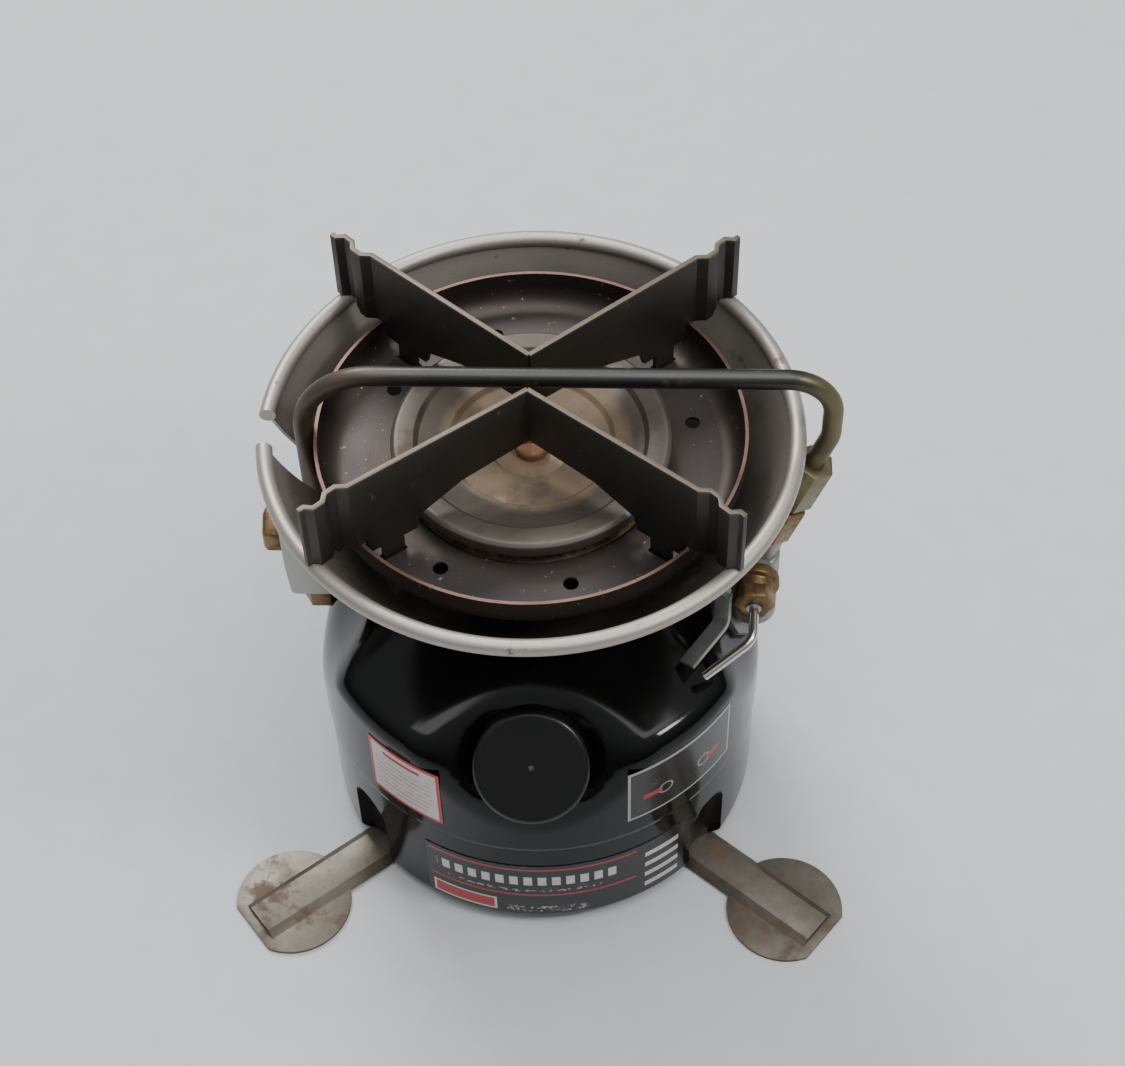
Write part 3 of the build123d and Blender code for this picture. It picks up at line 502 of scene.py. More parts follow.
def ring_steel_with_painted_light():
    """Burner rings: thin steel burnt brown, catching light on its edges; the base colour is brightened with
    painted light, as the rings sit in shade under the cap.
    """
    # painted light: this brown base is lighter than the burnt steel alone, to make up for the cap's shadow on
    # the rings
    finish = Finish("burnt ring steel with painted light", (0.30, 0.215, 0.15), 0.45, 0.7)
    dark = finish.patches(160.0, 0.5, 0.15)
    finish.cover(dark, (0.06, 0.045, 0.035), 0.6, share=0.7)
    rust = finish.patches(420.0, 0.4, 0.08)
    finish.cover(rust, (0.23, 0.12, 0.055), 0.8, 0.2, share=0.5)
    finish.relief(finish.noise(1500.0), 1.0)
    return finish.done(0.00005, 0.5)


def cast_burner_iron():
    """Burner base under the bowl: dark, rough and sooty."""
    finish = Finish("cast burner iron", (0.095, 0.085, 0.075), 0.62, 0.6)
    rust = finish.patches(140.0, 0.42, 0.12, 8.0)
    finish.cover(rust, (0.15, 0.075, 0.04), 0.85, 0.1, share=0.7)
    finish.relief(finish.noise(900.0, 6.0), 1.0)
    return finish.done(0.0001, 0.7)


def blued_tube_steel():
    """Generator tube: blue-black, browner on the left bend, green-brown on the right one."""
    finish = Finish("blued tube steel", (0.058, 0.058, 0.056), 0.36, 0.85)
    parts = finish.tree.nodes.new("ShaderNodeSeparateXYZ")
    finish.tree.links.new(finish.coords, parts.inputs[0])
    along = finish.math("MULTIPLY", parts.outputs[0], 1000.0)
    wander = finish.math("ADD", along, finish.math("MULTIPLY", finish.noise(80.0), 24.0))
    left = finish.band(wander, -90.0, -14.0, 16.0)
    finish.cover(left, (0.125, 0.095, 0.075), 0.5, 0.6, share=0.75)
    right = finish.band(wander, 74.0, 200.0, 9.0)
    finish.cover(right, (0.155, 0.135, 0.065), 0.5, 0.6, share=0.9)
    rust = finish.patches(190.0, 0.42, 0.1, 8.0)
    finish.cover(rust, (0.16, 0.085, 0.045), 0.75, 0.2, share=0.45)
    finish.relief(finish.noise(1600.0), 1.0)
    finish.vary_roughness(120.0, 0.2)
    return finish.done(0.00005, 0.45)


def tarnished_brass():
    """Brass nuts and fittings gone brown, with rusty and bright spots."""
    finish = Finish("tarnished brass", colours().brass, 0.42, 0.85)
    brown = finish.patches(210.0, 0.5, 0.14, 8.0)
    finish.cover(brown, (0.09, 0.05, 0.026), 0.62, 0.4, share=0.85)
    rust = finish.patches(330.0, 0.4, 0.08, 8.0)
    finish.cover(rust, (0.24, 0.105, 0.04), 0.8, 0.1, share=0.6)
    bright = finish.patches(500.0, 0.36, 0.06)
    finish.cover(bright, (0.62, 0.47, 0.24), 0.3, 0.95, share=0.5)
    finish.relief(finish.noise(1400.0), 1.0)
    return finish.done(0.00006, 0.5)


def clean_brass():
    """Inner brass of the pump and valves: satin, only a little dull."""
    finish = Finish("satin brass", (0.56, 0.41, 0.19), 0.32, 0.95)
    dull = finish.patches(150.0, 0.45, 0.2)
    finish.cover(dull, (0.33, 0.22, 0.10), 0.45, share=0.5)
    finish.relief(finish.noise(1600.0), 1.0)
    return finish.done(0.00004, 0.4)


def greened_nut_brass():
    """Generator nuts: grey-green tarnish with paler facets."""
    finish = Finish("greened nut brass", (0.20, 0.175, 0.105), 0.42, 0.8)
    pale = finish.patches(180.0, 0.42, 0.12)
    finish.cover(pale, (0.31, 0.29, 0.22), 0.4, share=0.6)
    brown = finish.patches(240.0, 0.42, 0.1, 8.0)
    finish.cover(brown, (0.15, 0.10, 0.05), 0.6, 0.3, share=0.8)
    finish.relief(finish.noise(1400.0), 1.0)
    return finish.done(0.00006, 0.5)


def weathered_zinc():
    """Zinc-plated feet: mottled grey, with rust creeping in from the wear."""
    finish = Finish("weathered zinc", colours().zinc, 0.46, 0.75)
    spangle = finish.noise(330.0, 3.0)
    finish.cover(spangle, (0.22, 0.198, 0.16), 0.4, share=0.6)
    dull = finish.patches(75.0, 0.47, 0.2)
    finish.cover(dull, (0.082, 0.068, 0.052), 0.6, share=0.75)
    rust = finish.patches(115.0, 0.47, 0.09, 9.0)
    finish.cover(rust, (0.11, 0.06, 0.032), 0.8, 0.15, share=0.65)
    specks = finish.patches(900.0, 0.37, 0.05)
    finish.cover(specks, (0.12, 0.085, 0.06), 0.7, 0.2, share=0.7)
    finish.relief(finish.noise(800.0, 6.0), 0.8)
    finish.vary_roughness(90.0, 0.25)
    return finish.done(0.00008, 0.55)


def galvanised_strip():
    """The strip lever and small plated parts: even grey zinc with a green cast."""
    finish = Finish("galvanised strip", (0.33, 0.345, 0.325), 0.44, 0.75)
    pale = finish.patches(140.0, 0.45, 0.2)
    finish.cover(pale, (0.47, 0.48, 0.45), 0.5, share=0.6)
    stain = finish.patches(210.0, 0.38, 0.08)
    finish.cover(stain, (0.18, 0.15, 0.11), 0.65, 0.3, share=0.6)
    finish.relief(finish.noise(1200.0), 1.0)
    return finish.done(0.00006, 0.5)


def chalky_zinc_casting():
    """Mixer block: pale cast zinc, chalky, with a green and brown bloom."""
    finish = Finish("chalky zinc casting", (0.50, 0.51, 0.46), 0.6, 0.45)
    chalk = finish.patches(110.0, 0.5, 0.2)
    finish.cover(chalk, (0.62, 0.62, 0.56), 0.75, 0.1, share=0.8)
    green = finish.patches(160.0, 0.40, 0.12)
    finish.cover(green, (0.36, 0.40, 0.30), 0.75, 0.1, share=0.5)
    stain = finish.patches(230.0, 0.35, 0.06)
    finish.cover(stain, (0.24, 0.17, 0.10), 0.75, 0.1, share=0.6)
    finish.relief(finish.noise(700.0, 6.0), 1.0)
    return finish.done(0.0001, 0.6)


def grey_valve_metal():
    """Valve body: dull grey with brown grease."""
    finish = Finish("grey valve metal", (0.30, 0.295, 0.275), 0.45, 0.75)
    grease = finish.patches(120.0, 0.45, 0.15)
    finish.cover(grease, (0.14, 0.115, 0.085), 0.55, 0.4, share=0.7)
    finish.relief(finish.noise(1200.0), 1.0)
    return finish.done(0.00006, 0.5)


def bright_nickel():
    """Rod lever: bright plated rod with light handling marks."""
    finish = Finish("bright nickel", (0.66, 0.63, 0.58), 0.2, 0.98)
    marks = finish.patches(400.0, 0.4, 0.1)
    finish.cover(marks, (0.36, 0.32, 0.27), 0.42, share=0.35)
    finish.relief(finish.noise(900.0), 1.0)
    return finish.done(0.00003, 0.4)


def satin_steel():
    """Rods, screws and washers."""
    finish = Finish("satin steel", (0.45, 0.44, 0.42), 0.32, 0.95)
    marks = finish.patches(220.0, 0.42, 0.12)
    finish.cover(marks, (0.24, 0.21, 0.18), 0.5, share=0.5)
    finish.relief(finish.noise(1500.0), 1.0)
    return finish.done(0.00004, 0.4)


def rusty_screw_steel():
    """The burner's centre screw, rusted by the flame."""
    finish = Finish("rusty screw steel", (0.20, 0.105, 0.055), 0.75, 0.3)
    scale = finish.patches(420.0, 0.48, 0.12, 8.0)
    finish.cover(scale, (0.33, 0.17, 0.075), 0.85, 0.1, share=0.8)
    finish.relief(finish.noise(900.0, 8.0), 1.0)
    return finish.done(0.00012, 0.7)


def knob_plastic():
    """Pump knob: black plastic, satin, with fine scuffs on its face."""
    finish = Finish("knob plastic", (0.0045, 0.0047, 0.0046), 0.3)
    scuffs = finish.patches(700.0, 0.40, 0.1)
    finish.cover(scuffs, (0.03, 0.028, 0.025), 0.5, share=0.2)
    dust = finish.use("Dust", Amount=0.06)["Mask"]
    finish.cover(dust, (0.16, 0.13, 0.10), 0.65)
    finish.relief(finish.noise(1000.0, 6.0), 1.0)
    return finish.done(0.00004, 0.35)


def dark_cap_metal():
    """Filler cap: dark bronze metal, worn brighter on its ridges."""
    finish = Finish("dark cap metal", (0.13, 0.10, 0.065), 0.4, 0.85)
    worn = finish.patches(260.0, 0.42, 0.12)
    finish.cover(worn, (0.36, 0.28, 0.17), 0.34, share=0.6)
    finish.relief(finish.noise(1200.0), 1.0)
    return finish.done(0.00006, 0.5)


def seal_rubber():
    """Filler gasket: matt black rubber."""
    finish = Finish("seal rubber", (0.02, 0.02, 0.02), 0.8)
    finish.relief(finish.noise(1500.0), 1.0)
    return finish.done(0.00006, 0.5)


def oiled_leather():
    """Pump cup: oiled brown leather with a fine pebble."""
    finish = Finish("oiled leather", (0.14, 0.075, 0.035), 0.55)
    dark = finish.patches(240.0, 0.5, 0.2)
    finish.cover(dark, (0.07, 0.035, 0.018), 0.4, share=0.6)
    finish.relief(finish.noise(1300.0, 4.0), 1.0)
    return finish.done(0.0001, 0.7)


# ------------------------------------------------------------------ printed panels
PAPER = (0.62, 0.60, 0.56)
INK_BLACK = (0.010, 0.010, 0.011)
OUTLINE = (0.36, 0.35, 0.33)


def printed_base(name, ground):
    """A printed metal panel with its round coordinates ready."""
    finish = Finish(name, ground, 0.3)
    place = finish.use("Round coordinates")
    return finish, place["Azimuth"], place["Height"]


def box_mask(finish, azimuth, height, left, right, low, high):
    """Mask of a rectangle on the wall, in degrees and millimetres."""
    across = finish.band(azimuth, left, right, 0.12)
    upright = finish.band(height, low, high, 0.12)
    return finish.math("MULTIPLY", across, upright)


def worn_print(finish):
    """Scuffs and grime that every printed panel shares."""
    grime = finish.patches(170.0, 0.42, 0.15)
    finish.cover(grime, (0.12, 0.10, 0.08), 0.5, share=0.35)
    scuffs = finish.patches(900.0, 0.35, 0.05)
    finish.cover(scuffs, (0.05, 0.05, 0.05), 0.5, share=0.4)
    return finish.done()


def notice_print():
    """Left panel: pale, with a red border and rows of plain thin rules."""
    red = colours().sign_red
    finish, azimuth, height = printed_base("notice print", red)
    finish.cover(box_mask(finish, azimuth, height, -44.6, -24.3, 44.5, 65.0), PAPER, 0.35)
    rows = finish.math("FRACT", finish.math("MULTIPLY", height, 0.5))
    rules = finish.band(rows, 0.28, 0.66, 0.1)
    broken = finish.patches(420.0, 0.6, 0.12)
    area = box_mask(finish, azimuth, height, -43.6, -25.6, 46.0, 60.5)
    rules = finish.math("MULTIPLY", finish.math("MULTIPLY", rules, area), broken)
    finish.cover(rules, (0.50, 0.15, 0.13), 0.4, share=0.75)
    heading = box_mask(finish, azimuth, height, -40.5, -29.0, 62.0, 63.4)
    finish.cover(heading, red, 0.4)
    return worn_print(finish)


def dial_print():
    """Right panel: a pale outline on black, with two small lever signs."""
    finish, azimuth, height = printed_base("lever sign print", OUTLINE)
    finish.cover(box_mask(finish, azimuth, height, 24.9, 57.4, 46.2, 66.3), INK_BLACK, 0.2)
    centre_height = 54.0
    for centre_azimuth, bar_left, bar_right in ((35.0, 28.5, 34.0), (47.5, 48.5, 54.0)):
        side = finish.math("MULTIPLY", finish.math("SUBTRACT", azimuth, centre_azimuth), 1.01)
        rise = finish.math("SUBTRACT", height, centre_height)
        far = finish.math("SQRT", finish.math(
            "ADD", finish.math("MULTIPLY", side, side), finish.math("MULTIPLY", rise, rise)))
        finish.cover(finish.band(far, 1.7, 2.3, 0.15), OUTLINE, 0.4)
        bar = box_mask(finish, azimuth, height, bar_left, bar_right, centre_height - 1.0, centre_height + 1.0)
        finish.cover(bar, colours().sign_red, 0.4)
    return worn_print(finish)


def band_print():
    """Lower panel: red rules, a row of pale blocks, a plain red block and plain pale stripes."""
    red = colours().sign_red
    finish, azimuth, height = printed_base("band print", INK_BLACK)
    for low, high in ((27.6, 28.5), (14.9, 15.8)):
        finish.cover(box_mask(finish, azimuth, height, -29.0, 27.0, low, high), red, 0.35)
    blocks = finish.band(finish.math("FRACT", finish.math("MULTIPLY", azimuth, 0.27)), 0.12, 0.78, 0.06)
    title = finish.math("MULTIPLY", blocks, box_mask(finish, azimuth, height, -27.0, 22.0, 20.4, 24.6))
    finish.cover(title, PAPER, 0.4)
    small = finish.math("MULTIPLY", finish.patches(700.0, 0.5, 0.1), box_mask(
        finish, azimuth, height, -24.0, 18.0, 17.0, 18.2))
    finish.cover(small, PAPER, 0.4, share=0.7)
    small = finish.math("MULTIPLY", finish.patches(700.0, 0.5, 0.1), box_mask(
        finish, azimuth, height, -8.0, 14.0, 6.6, 9.6))
    finish.cover(small, PAPER, 0.4, share=0.7)
    finish.cover(box_mask(finish, azimuth, height, -28.5, -10.5, 6.2, 12.4), PAPER, 0.35)
    finish.cover(box_mask(finish, azimuth, height, -27.8, -11.2, 6.9, 11.7), red, 0.35)
    for low in (8.0, 13.0, 18.0, 23.0):
        finish.cover(box_mask(finish, azimuth, height, 29.5, 40.0, low, low + 2.2), PAPER, 0.4)
    return worn_print(finish)


# ------------------------------------------------------------------ pieces
def settle(piece, node, material):
    """Gives a finished piece its material, slot and body, and hides the CAD node it stands for."""
    piece.data.materials.clear()
    piece.data.materials.append(material)
    for polygon in piece.data.polygons:
        polygon.material_index = 0
    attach(piece, body_of_node[node])
    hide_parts(node)
    return piece


def add_piece(name, bm, smooth_angle=35.0):
    """A mesh object from a bmesh, smooth except where faces meet sharply."""
    mesh = bpy.data.meshes.new(name)
    bm.to_mesh(mesh)
    bm.free()
    for polygon in mesh.polygons:
        polygon.use_smooth = True
    mesh.set_sharp_from_angle(angle=radians(smooth_angle))
    piece = bpy.data.objects.new(name, mesh)
    bpy.context.scene.collection.objects.link(piece)
    return piece


def merged_copy(node):
    """A bmesh of a CAD node with its loose triangles joined up and flat faces made whole."""
    bm = bmesh.new()
    bm.from_mesh(nodes[node].data)
    bmesh.ops.remove_doubles(bm, verts=bm.verts, dist=2e-6)
    bmesh.ops.dissolve_limit(bm, angle_limit=radians(0.4), verts=bm.verts, edges=bm.edges)
    return bm


def dress(node, material, edge, segments=2, bevel_angle=30.0, smooth_angle=35.0):
    """The piece for a CAD node: joined, with its sharp edges broken by a small bevel."""
    bm = merged_copy(node)
    sharp = [e for e in bm.edges if len(e.link_faces) == 2 and e.calc_face_angle(0) > radians(bevel_angle)]
    bmesh.ops.bevel(bm, geom=sharp, offset=edge, offset_type="OFFSET", segments=segments, profile=0.5,
                    affect="EDGES", clamp_overlap=True, material=-1)
    bmesh.ops.triangulate(bm, faces=bm.faces)
    return settle(add_piece(f"{node}_piece", bm, smooth_angle), node, material)


def paint(node, material):
    """Gives a CAD node that keeps its own mesh its material."""
    nodes[node].data.materials.clear()
    nodes[node].data.materials.append(material)


# ------------------------------------------------------------------ tank shape
TANK_RADIUS = 57.8 * MM
TROUGH_RADIUS = 68.0 * MM
TROUGH_SLOPE = radians(50.0)
TROUGH_EDGE = (57.5 * MM, 55.0 * MM)
HEART_HEIGHT = 44 * MM
TANK_HEART = Vector((0, 0, HEART_HEIGHT))
PRESS_FADE = 6 * MM
POCKET_MIDDLE = 14.5 * MM
POCKET_FLOOR = 0.2 * MM
POCKET_RADIUS = 17.2 * MM
POCKET_BLEND = 1.6 * MM


def outward(azimuth):
    """Unit vector away from the axis; 0 degrees is the front, 90 the right."""
    return Vector((sin(radians(azimuth)), -cos(radians(azimuth)), 0))


def trough_frame(azimuth):
    """Edge point, floor normal and fall line of one trough."""
    away = outward(azimuth)
    edge = away * TROUGH_EDGE[0] + Vector((0, 0, TROUGH_EDGE[1]))
    normal = away * sin(TROUGH_SLOPE) + Vector((0, 0, cos(TROUGH_SLOPE)))
    fall = away * cos(TROUGH_SLOPE) - Vector((0, 0, sin(TROUGH_SLOPE)))
    return edge, normal, fall


def reach_to_trough(direction, azimuth):
    """How far along a ray from the tank's heart a trough's round floor lies, as a share of its length."""
    edge, normal, fall = trough_frame(azimuth)
    offset = TANK_HEART - (edge + normal * TROUGH_RADIUS)
    flat_dir = direction - fall * direction.dot(fall)
    flat_off = offset - fall * offset.dot(fall)
    a = flat_dir.length_squared
    b = flat_dir.dot(flat_off)
    root = b * b - a * (flat_off.length_squared - TROUGH_RADIUS**2)
    if a < 1e-12 or root < 0:
        return 9.0
    share = (-b - sqrt(root)) / a
    return share if share > 0 else 9.0


def reach_to_pocket(direction, azimuth):
    """The same for the round flat pocket that a fitting sits in, and how much it counts."""
    edge, normal, fall = trough_frame(azimuth)
    middle = edge - fall * POCKET_MIDDLE
    floor = middle - normal * POCKET_FLOOR
    facing = direction.dot(normal)
    if facing <= 0:
        return 9.0, 0.0
    share = (floor - TANK_HEART).dot(normal) / facing
    off = TANK_HEART + direction * share - middle
    off -= normal * off.dot(normal)
    weight = min(max((POCKET_RADIUS - off.length) / POCKET_BLEND, 0.0), 1.0)
    return share, weight * weight * (3 - 2 * weight)


def soft_min(a, b, width):
    """Smaller of two numbers, rounded off where they are nearly equal."""
    near = max(width - abs(a - b), 0.0) / width
    return min(a, b) - near * near * width / 4


def press_tank(bm, softness):
    """Moves a plain dome's points in to the four troughs and the two pockets."""
    for vert in bm.verts:
        direction = vert.co - TANK_HEART
        if vert.co.z < HEART_HEIGHT:
            continue
        share = 1.0
        for azimuth in (0, 90, 180, 270):
            share = soft_min(share, reach_to_trough(direction, azimuth), softness)
        for azimuth in (0, 180):
            floor, weight = reach_to_pocket(direction, azimuth)
            share += (min(share, floor) - share) * weight
        fade = min((vert.co.z - HEART_HEIGHT) / PRESS_FADE, 1.0)
        vert.co = TANK_HEART + direction * (1 + (share - 1) * fade)


def pressed_shell(softness):
    """The upper shell's outside: a spun dome with a rounded shoulder, then pressed."""
    bm = bmesh.new()
    outline = [(TANK_RADIUS, 38.5 * MM), (TANK_RADIUS, 73 * MM), (20 * MM, 85 * MM), (0, 85 * MM)]
    verts = [bm.verts.new((r, 0, z)) for r, z in outline]
    edges = [bm.edges.new(pair) for pair in zip(verts, verts[1:])]
    bmesh.ops.spin(bm, geom=verts + edges, cent=(0, 0, 0), axis=(0, 0, 1), angle=2 * pi, steps=216,
                   use_merge=True)
    bmesh.ops.remove_doubles(bm, verts=bm.verts, dist=1e-6)
    shoulder = [e for e in bm.edges if all(abs(v.co.z - 73 * MM) < 1e-6 for v in e.verts)]
    bmesh.ops.bevel(bm, geom=shoulder, offset=4.5 * MM, offset_type="OFFSET", segments=6, profile=0.5,
                    affect="EDGES", clamp_overlap=True, material=-1)
    for low, high, cuts in ((30, 72, 26), (60, 86, 34)):
        long_edges = [e for e in bm.edges
                      if e.calc_length() > 5 * MM and abs(e.verts[0].co.z - e.verts[1].co.z) > 2 * MM
                      and low * MM < min(v.co.z for v in e.verts)
                      and max(v.co.z for v in e.verts) < high * MM]
        if long_edges:
            bmesh.ops.subdivide_edges(bm, edges=long_edges, cuts=cuts, use_grid_fill=True)
    press_tank(bm, softness)
    bmesh.ops.recalc_face_normals(bm, faces=bm.faces)
    return bm


class STOVE_OT_tank(bpy.types.Operator):
    """Presses the tank's upper half and finishes both halves in black enamel"""

    bl_idname = "stove.tank"
    bl_label = "Tank"

    def execute(self, context):
        enamel = gloss_enamel()
        shape = context.scene.stove_shape
        shell = add_piece("tank_upper_shell_piece", pressed_shell(shape.ridge_softness), 60.0)
        wall = shell.modifiers.new("sheet", "SOLIDIFY")
        wall.thickness = shape.shell_sheet
        wall.offset = -1.0
        settle(shell, "tank_upper_shell", enamel)
        paint("tank_lower_shell", enamel)
        return {"FINISHED"}


class STOVE_OT_labels(bpy.types.Operator):
    """Prints the three panels on the tank's wall"""

    bl_idname = "stove.labels"
    bl_label = "Printed panels"

    def execute(self, context):
        paint("label_left", notice_print())
        paint("label_right", dial_print())
        paint("label_band", band_print())
        return {"FINISHED"}


class STOVE_OT_legs(bpy.types.Operator):
    """Finishes the three folding feet and their rivets"""

    bl_idname = "stove.legs"
    bl_label = "Feet"

    def execute(self, context):
        zinc = weathered_zinc()
        for node in ("leg_front_right", "leg_front_left", "leg_rear"):
            dress(node, zinc, edge=0.45 * MM, segments=3, bevel_angle=20.0)
        dress("leg_rivets", zinc, edge=0.25 * MM)
        return {"FINISHED"}


class STOVE_OT_pump(bpy.types.Operator):
    """Finishes the pump from knob to check valve"""

    bl_idname = "stove.pump"
    bl_label = "Pump"

    def execute(self, context):
        brass = clean_brass()
        steel = satin_steel()
        paint("pump_knob", knob_plastic())
        for node in ("pump_cylinder", "pump_cap", "check_valve"):
            paint(node, brass)
        for node in ("pump_rod", "air_stem", "pump_cup_washers"):
            paint(node, steel)
        paint("pump_cup", oiled_leather())
        return {"FINISHED"}


class STOVE_OT_filler(bpy.types.Operator):
    """Finishes the filler neck, cap and gasket"""

    bl_idname = "stove.filler"
    bl_label = "Filler"

    def execute(self, context):
        paint("filler_neck", clean_brass())
        dress("filler_cap", dark_cap_metal(), edge=0.2 * MM)
        dress("filler_gasket", seal_rubber(), edge=0.2 * MM)
        return {"FINISHED"}


class STOVE_OT_valve(bpy.types.Operator):
    """Finishes the fuel valve and its two levers"""

    bl_idname = "stove.valve"
    bl_label = "Fuel valve"

    def execute(self, context):
        brass = tarnished_brass()
        steel = satin_steel()
        paint("valve_body", grey_valve_metal())
        dress("valve_bonnet", brass, edge=0.3 * MM)
        dress("packing_nut", brass, edge=0.25 * MM)
        paint("fuel_lever", bright_nickel())
        dress("adjuster_lever", galvanised_strip(), edge=0.15 * MM)
        for node in ("valve_stem", "adjuster_spindle"):
            paint(node, steel)
        paint("pickup_tube", clean_brass())
        return {"FINISHED"}


class STOVE_OT_generator(bpy.types.Operator):
    """Finishes the generator tube, its nuts and needle"""

    bl_idname = "stove.generator"
    bl_label = "Generator"

    def execute(self, context):
        nut = greened_nut_brass()
        paint("generator_tube", blued_tube_steel())
        dress("generator_nut", nut, edge=0.3 * MM)
        dress("tube_nut", nut, edge=0.3 * MM)
        dress("generator_collar", tarnished_brass(), edge=0.3 * MM)
        paint("cleaning_needle", satin_steel())
        return {"FINISHED"}


class STOVE_OT_mixer(bpy.types.Operator):
    """Finishes the mixer block, its jet and the mixing tube"""

    bl_idname = "stove.mixer"
    bl_label = "Mixer"

    def execute(self, context):
        brass = tarnished_brass()
        dress("mixer_block", chalky_zinc_casting(), edge=0.4 * MM)
        dress("jet_plug", brass, edge=0.3 * MM)
        dress("mixer_nut", brass, edge=0.3 * MM)
        paint("gas_jet", clean_brass())
        paint("mixer_stud", satin_steel())
        paint("mixing_tube", cast_burner_iron())
        return {"FINISHED"}


RING_STEP = 3.0 * MM
RING_HALF = 1.2 * MM


def wavy_ring(level, shape):
    """One corrugated ring: a flat ring bent into slanting waves, then given its sheet thickness."""
    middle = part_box("burner_rings_wavy")[0].z + RING_HALF + level * RING_STEP
    bm = bmesh.new()
    loops = []
    for radius in (27.1 * MM, 31.3 * MM):
        ring = bmesh.ops.create_circle(bm, cap_ends=False, radius=radius, segments=shape.waves * 8)
        loops += list({e for v in ring["verts"] for e in v.link_edges})
    bmesh.ops.bridge_loops(bm, edges=loops)
    radial = [e for e in bm.edges if abs(e.verts[0].co.length - e.verts[1].co.length) > 1 * MM]
    bmesh.ops.subdivide_edges(bm, edges=radial, cuts=3, use_grid_fill=True)
    for vert in bm.verts:
        angle = atan2(vert.co.y, vert.co.x)
        slant = (vert.co.length - 29 * MM) / MM * 0.45
        vert.co.z = middle + shape.wave_height * sin(shape.waves * angle + slant + level * 2.1)
    bmesh.ops.recalc_face_normals(bm, faces=bm.faces)
    bmesh.ops.solidify(bm, geom=bm.faces, thickness=0.35 * MM)
    return bm


class STOVE_OT_burner(bpy.types.Operator):
    """Finishes the burner, bowl and heat plate, and bends the corrugated rings"""

    bl_idname = "stove.burner"
    bl_label = "Burner"

    def execute(self, context):
        shape = context.scene.stove_shape
        rings = ring_steel_with_painted_light()
        iron = cast_burner_iron()
        paint("burner_base", iron)
        paint("burner_bowl", spun_bowl_steel())
        paint("heat_plate", stained_plate_steel())
        dress("burner_cap", burnt_cap_steel(), edge=0.18 * MM, bevel_angle=15.0, smooth_angle=22.0)
        dress("burner_screw", rusty_screw_steel(), edge=0.15 * MM)
        paint("burner_rings_flat", rings)
        stack = bmesh.new()
        for level in range(3):
            ring = wavy_ring(level, shape)
            mesh = bpy.data.meshes.new("ring")
            ring.to_mesh(mesh)
            ring.free()
            stack.from_mesh(mesh)
            bpy.data.meshes.remove(mesh)
        settle(add_piece("burner_rings_wavy_piece", stack, 60.0), "burner_rings_wavy", rings)
        plated = galvanised_strip()
        for node in ("burner_bracket", "bracket_screws", "bowl_locknut"):
            dress(node, plated, edge=0.2 * MM)
        return {"FINISHED"}


class STOVE_OT_supports(bpy.types.Operator):
    """Finishes the two pot supports"""

    bl_idname = "stove.supports"
    bl_label = "Pot supports"

    def execute(self, context):
        steel = dull_support_steel()
        for node in ("pot_support_front", "pot_support_rear"):
            dress(node, steel, edge=0.22 * MM, segments=3, bevel_angle=20.0)
        return {"FINISHED"}


# ------------------------------------------------------------------ stage
def pale_cloth():
    """Backdrop cloth: pale grey with the faintest mottling."""
    finish = Finish("pale cloth", (0.60, 0.61, 0.625), 0.85)
    cloud = finish.noise(6.0, 3.0)
    finish.cover(cloud, (0.64, 0.64, 0.65), 0.85, share=0.3)
    finish.relief(finish.noise(900.0), 1.0)
    return finish.done(0.00005, 0.3)


def stage_sheet(name, corners, material):
    """A flat sheet of the stage from its four corners."""
    bm = bmesh.new()
    bm.faces.new([bm.verts.new(corner) for corner in corners])
    sheet = add_piece(name, bm)
    sheet.data.materials.append(material)
    return sheet


def soft_room(strength):
    """Even light that is dimmer near the horizon, behind a plain pale backdrop."""
    world = bpy.data.worlds.new("room")
    world.use_nodes = True
    tree = world.node_tree
    parts = tree.nodes.new("ShaderNodeSeparateXYZ")
    tree.links.new(tree.nodes.new("ShaderNodeTexCoord").outputs["Generated"], parts.inputs[0])
    rise = math_node(tree, "ADD", math_node(tree, "MULTIPLY", parts.outputs[2], 0.9), -0.12, clamp=True)
    seen = tree.nodes.new("ShaderNodeLightPath").outputs["Is Camera Ray"]
    lit = math_node(tree, "ADD", rise, 0.1)
    glow = math_node(tree, "MAXIMUM", lit, math_node(tree, "MULTIPLY", seen, 0.8))
    background = tree.nodes["Background"]
    background.inputs["Color"].default_value = (0.95, 0.97, 1.0, 1)
    tree.links.new(math_node(tree, "MULTIPLY", glow, strength), background.inputs["Strength"])
    return world


def soft_light(name, place, aim, size, power, colour=(1, 1, 1)):
    """A square area light at place, turned to aim."""
    light = bpy.data.lights.new(name, "AREA")
    light.shape = "SQUARE"
    light.size = size
    light.energy = power
    light.color = colour
    lamp = bpy.data.objects.new(name, light)
    bpy.context.scene.collection.objects.link(lamp)
    lamp.location = place
    lamp.rotation_euler = (Vector(aim) - Vector(place)).to_track_quat("-Z", "Y").to_euler()
    return lamp


def place_camera(stage):
    """The camera, from its place, heading, pitch and roll."""
    heading, pitch, roll = stage.camera_heading, stage.camera_pitch, stage.camera_roll
    ahead = Vector((sin(heading) * cos(pitch), cos(heading) * cos(pitch), -sin(pitch)))
    right = ahead.cross(Vector((0, 0, 1))).normalized()
    up = right.cross(ahead)
    side = right * cos(roll) + up * sin(roll)
    top = up * cos(roll) - right * sin(roll)
    lens = bpy.data.cameras.new("camera")
    lens.lens = stage.camera_lens
    lens.sensor_width = 36.0
    lens.sensor_fit = "HORIZONTAL"
    camera = bpy.data.objects.new("camera", lens)
    bpy.context.scene.collection.objects.link(camera)
    turn = Matrix((side, top, -ahead)).transposed().to_4x4()
    camera.matrix_world = Matrix.Translation(Vector(stage.camera_place)) @ turn
    bpy.context.scene.camera = camera


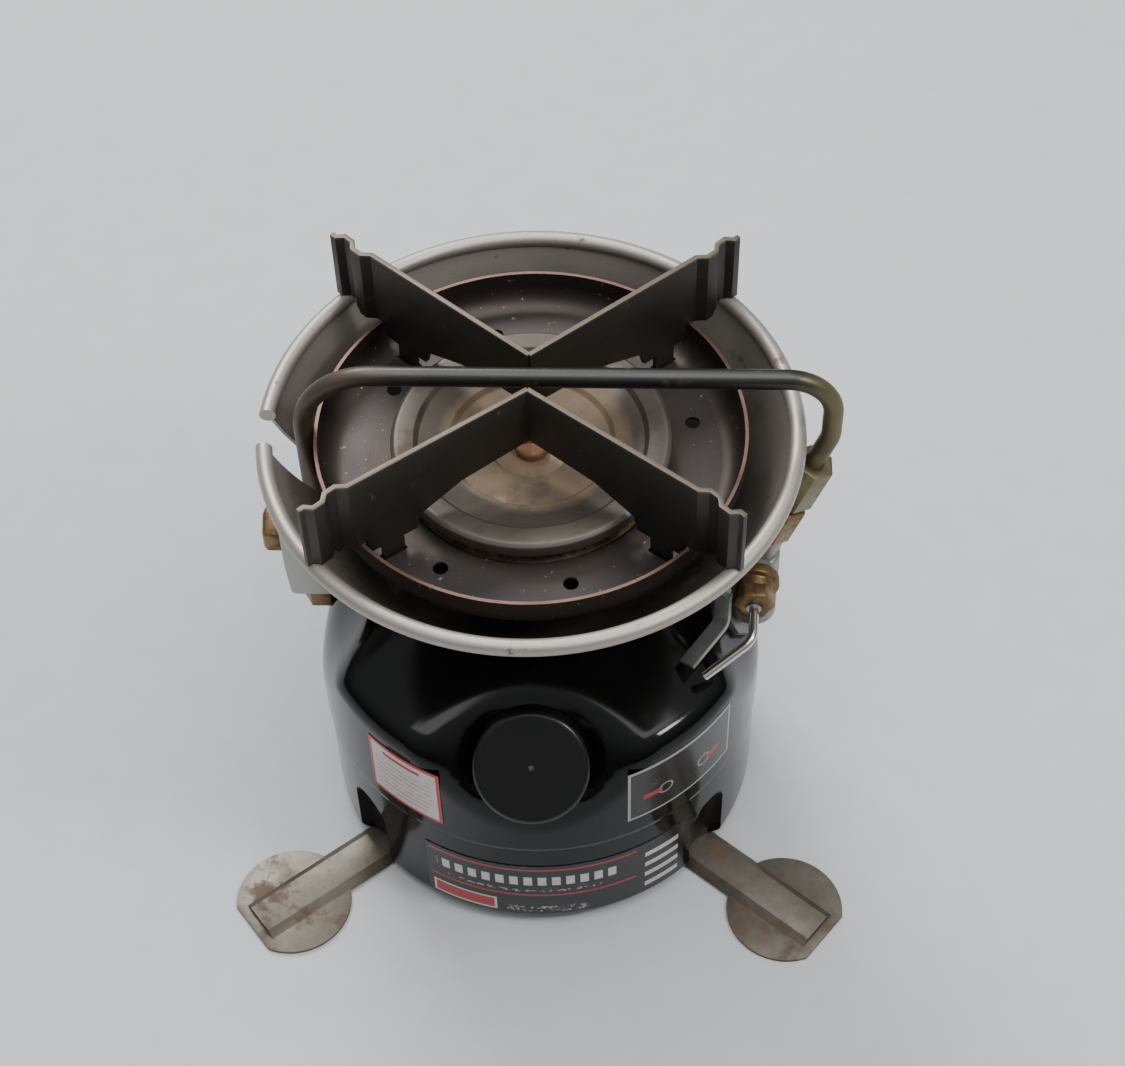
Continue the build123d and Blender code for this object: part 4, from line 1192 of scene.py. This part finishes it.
class STOVE_OT_stage(bpy.types.Operator):
    """Sets the floor, backdrop, lights and camera"""

    bl_idname = "stove.stage"
    bl_label = "Stage"

    def execute(self, context):
        stage = context.scene.stove_stage
        cloth = pale_cloth()
        floor_z = cad_bounds[0][2] - 0.0001
        stage_sheet("floor", [(-3, -3, floor_z), (3, -3, floor_z), (3, 3, floor_z), (-3, 3, floor_z)], cloth)
        context.scene.world = soft_room(stage.room_light)
        soft_light("key", (-0.35, 0.75, 0.95), (0, 0, 0.08), 0.45, stage.key_power)
        soft_light("overhead", (0.1, -0.1, 1.5), (0, 0, 0.05), 1.1, stage.key_power * 1.2)
        soft_light("glint", (0.62, -0.25, 0.85), (0, 0, 0.05), 0.16, stage.key_power * 0.3)
        place_camera(stage)
        return {"FINISHED"}


# ------------------------------------------------------------------ add-on frame
STEPS = (STOVE_OT_tank, STOVE_OT_labels, STOVE_OT_legs, STOVE_OT_pump, STOVE_OT_filler, STOVE_OT_valve,
         STOVE_OT_generator, STOVE_OT_mixer, STOVE_OT_burner, STOVE_OT_supports, STOVE_OT_stage)


class STOVE_PT_panel(bpy.types.Panel):
    """Lists the stove's steps"""

    bl_idname = "STOVE_PT_panel"
    bl_label = "Camp stove"
    bl_space_type = "VIEW_3D"
    bl_region_type = "UI"
    bl_category = "Stove"

    def draw(self, context):
        for step in STEPS:
            self.layout.operator(step.bl_idname)


CLASSES = (StoveFinishSettings, StoveShapeSettings, StoveStageSettings, *STEPS, STOVE_PT_panel)


def register():
    for cls in CLASSES:
        bpy.utils.register_class(cls)
    bpy.types.Scene.stove_finish = bpy.props.PointerProperty(type=StoveFinishSettings)
    bpy.types.Scene.stove_shape = bpy.props.PointerProperty(type=StoveShapeSettings)
    bpy.types.Scene.stove_stage = bpy.props.PointerProperty(type=StoveStageSettings)


def unregister():
    del bpy.types.Scene.stove_stage
    del bpy.types.Scene.stove_shape
    del bpy.types.Scene.stove_finish
    for cls in reversed(CLASSES):
        bpy.utils.unregister_class(cls)


def main():
    register()
    bpy.ops.stove.tank()
    bpy.ops.stove.labels()
    bpy.ops.stove.legs()
    bpy.ops.stove.pump()
    bpy.ops.stove.filler()
    bpy.ops.stove.valve()
    bpy.ops.stove.generator()
    bpy.ops.stove.mixer()
    bpy.ops.stove.burner()
    bpy.ops.stove.supports()
    bpy.ops.stove.stage()


if __name__ == "__main__":
    main()
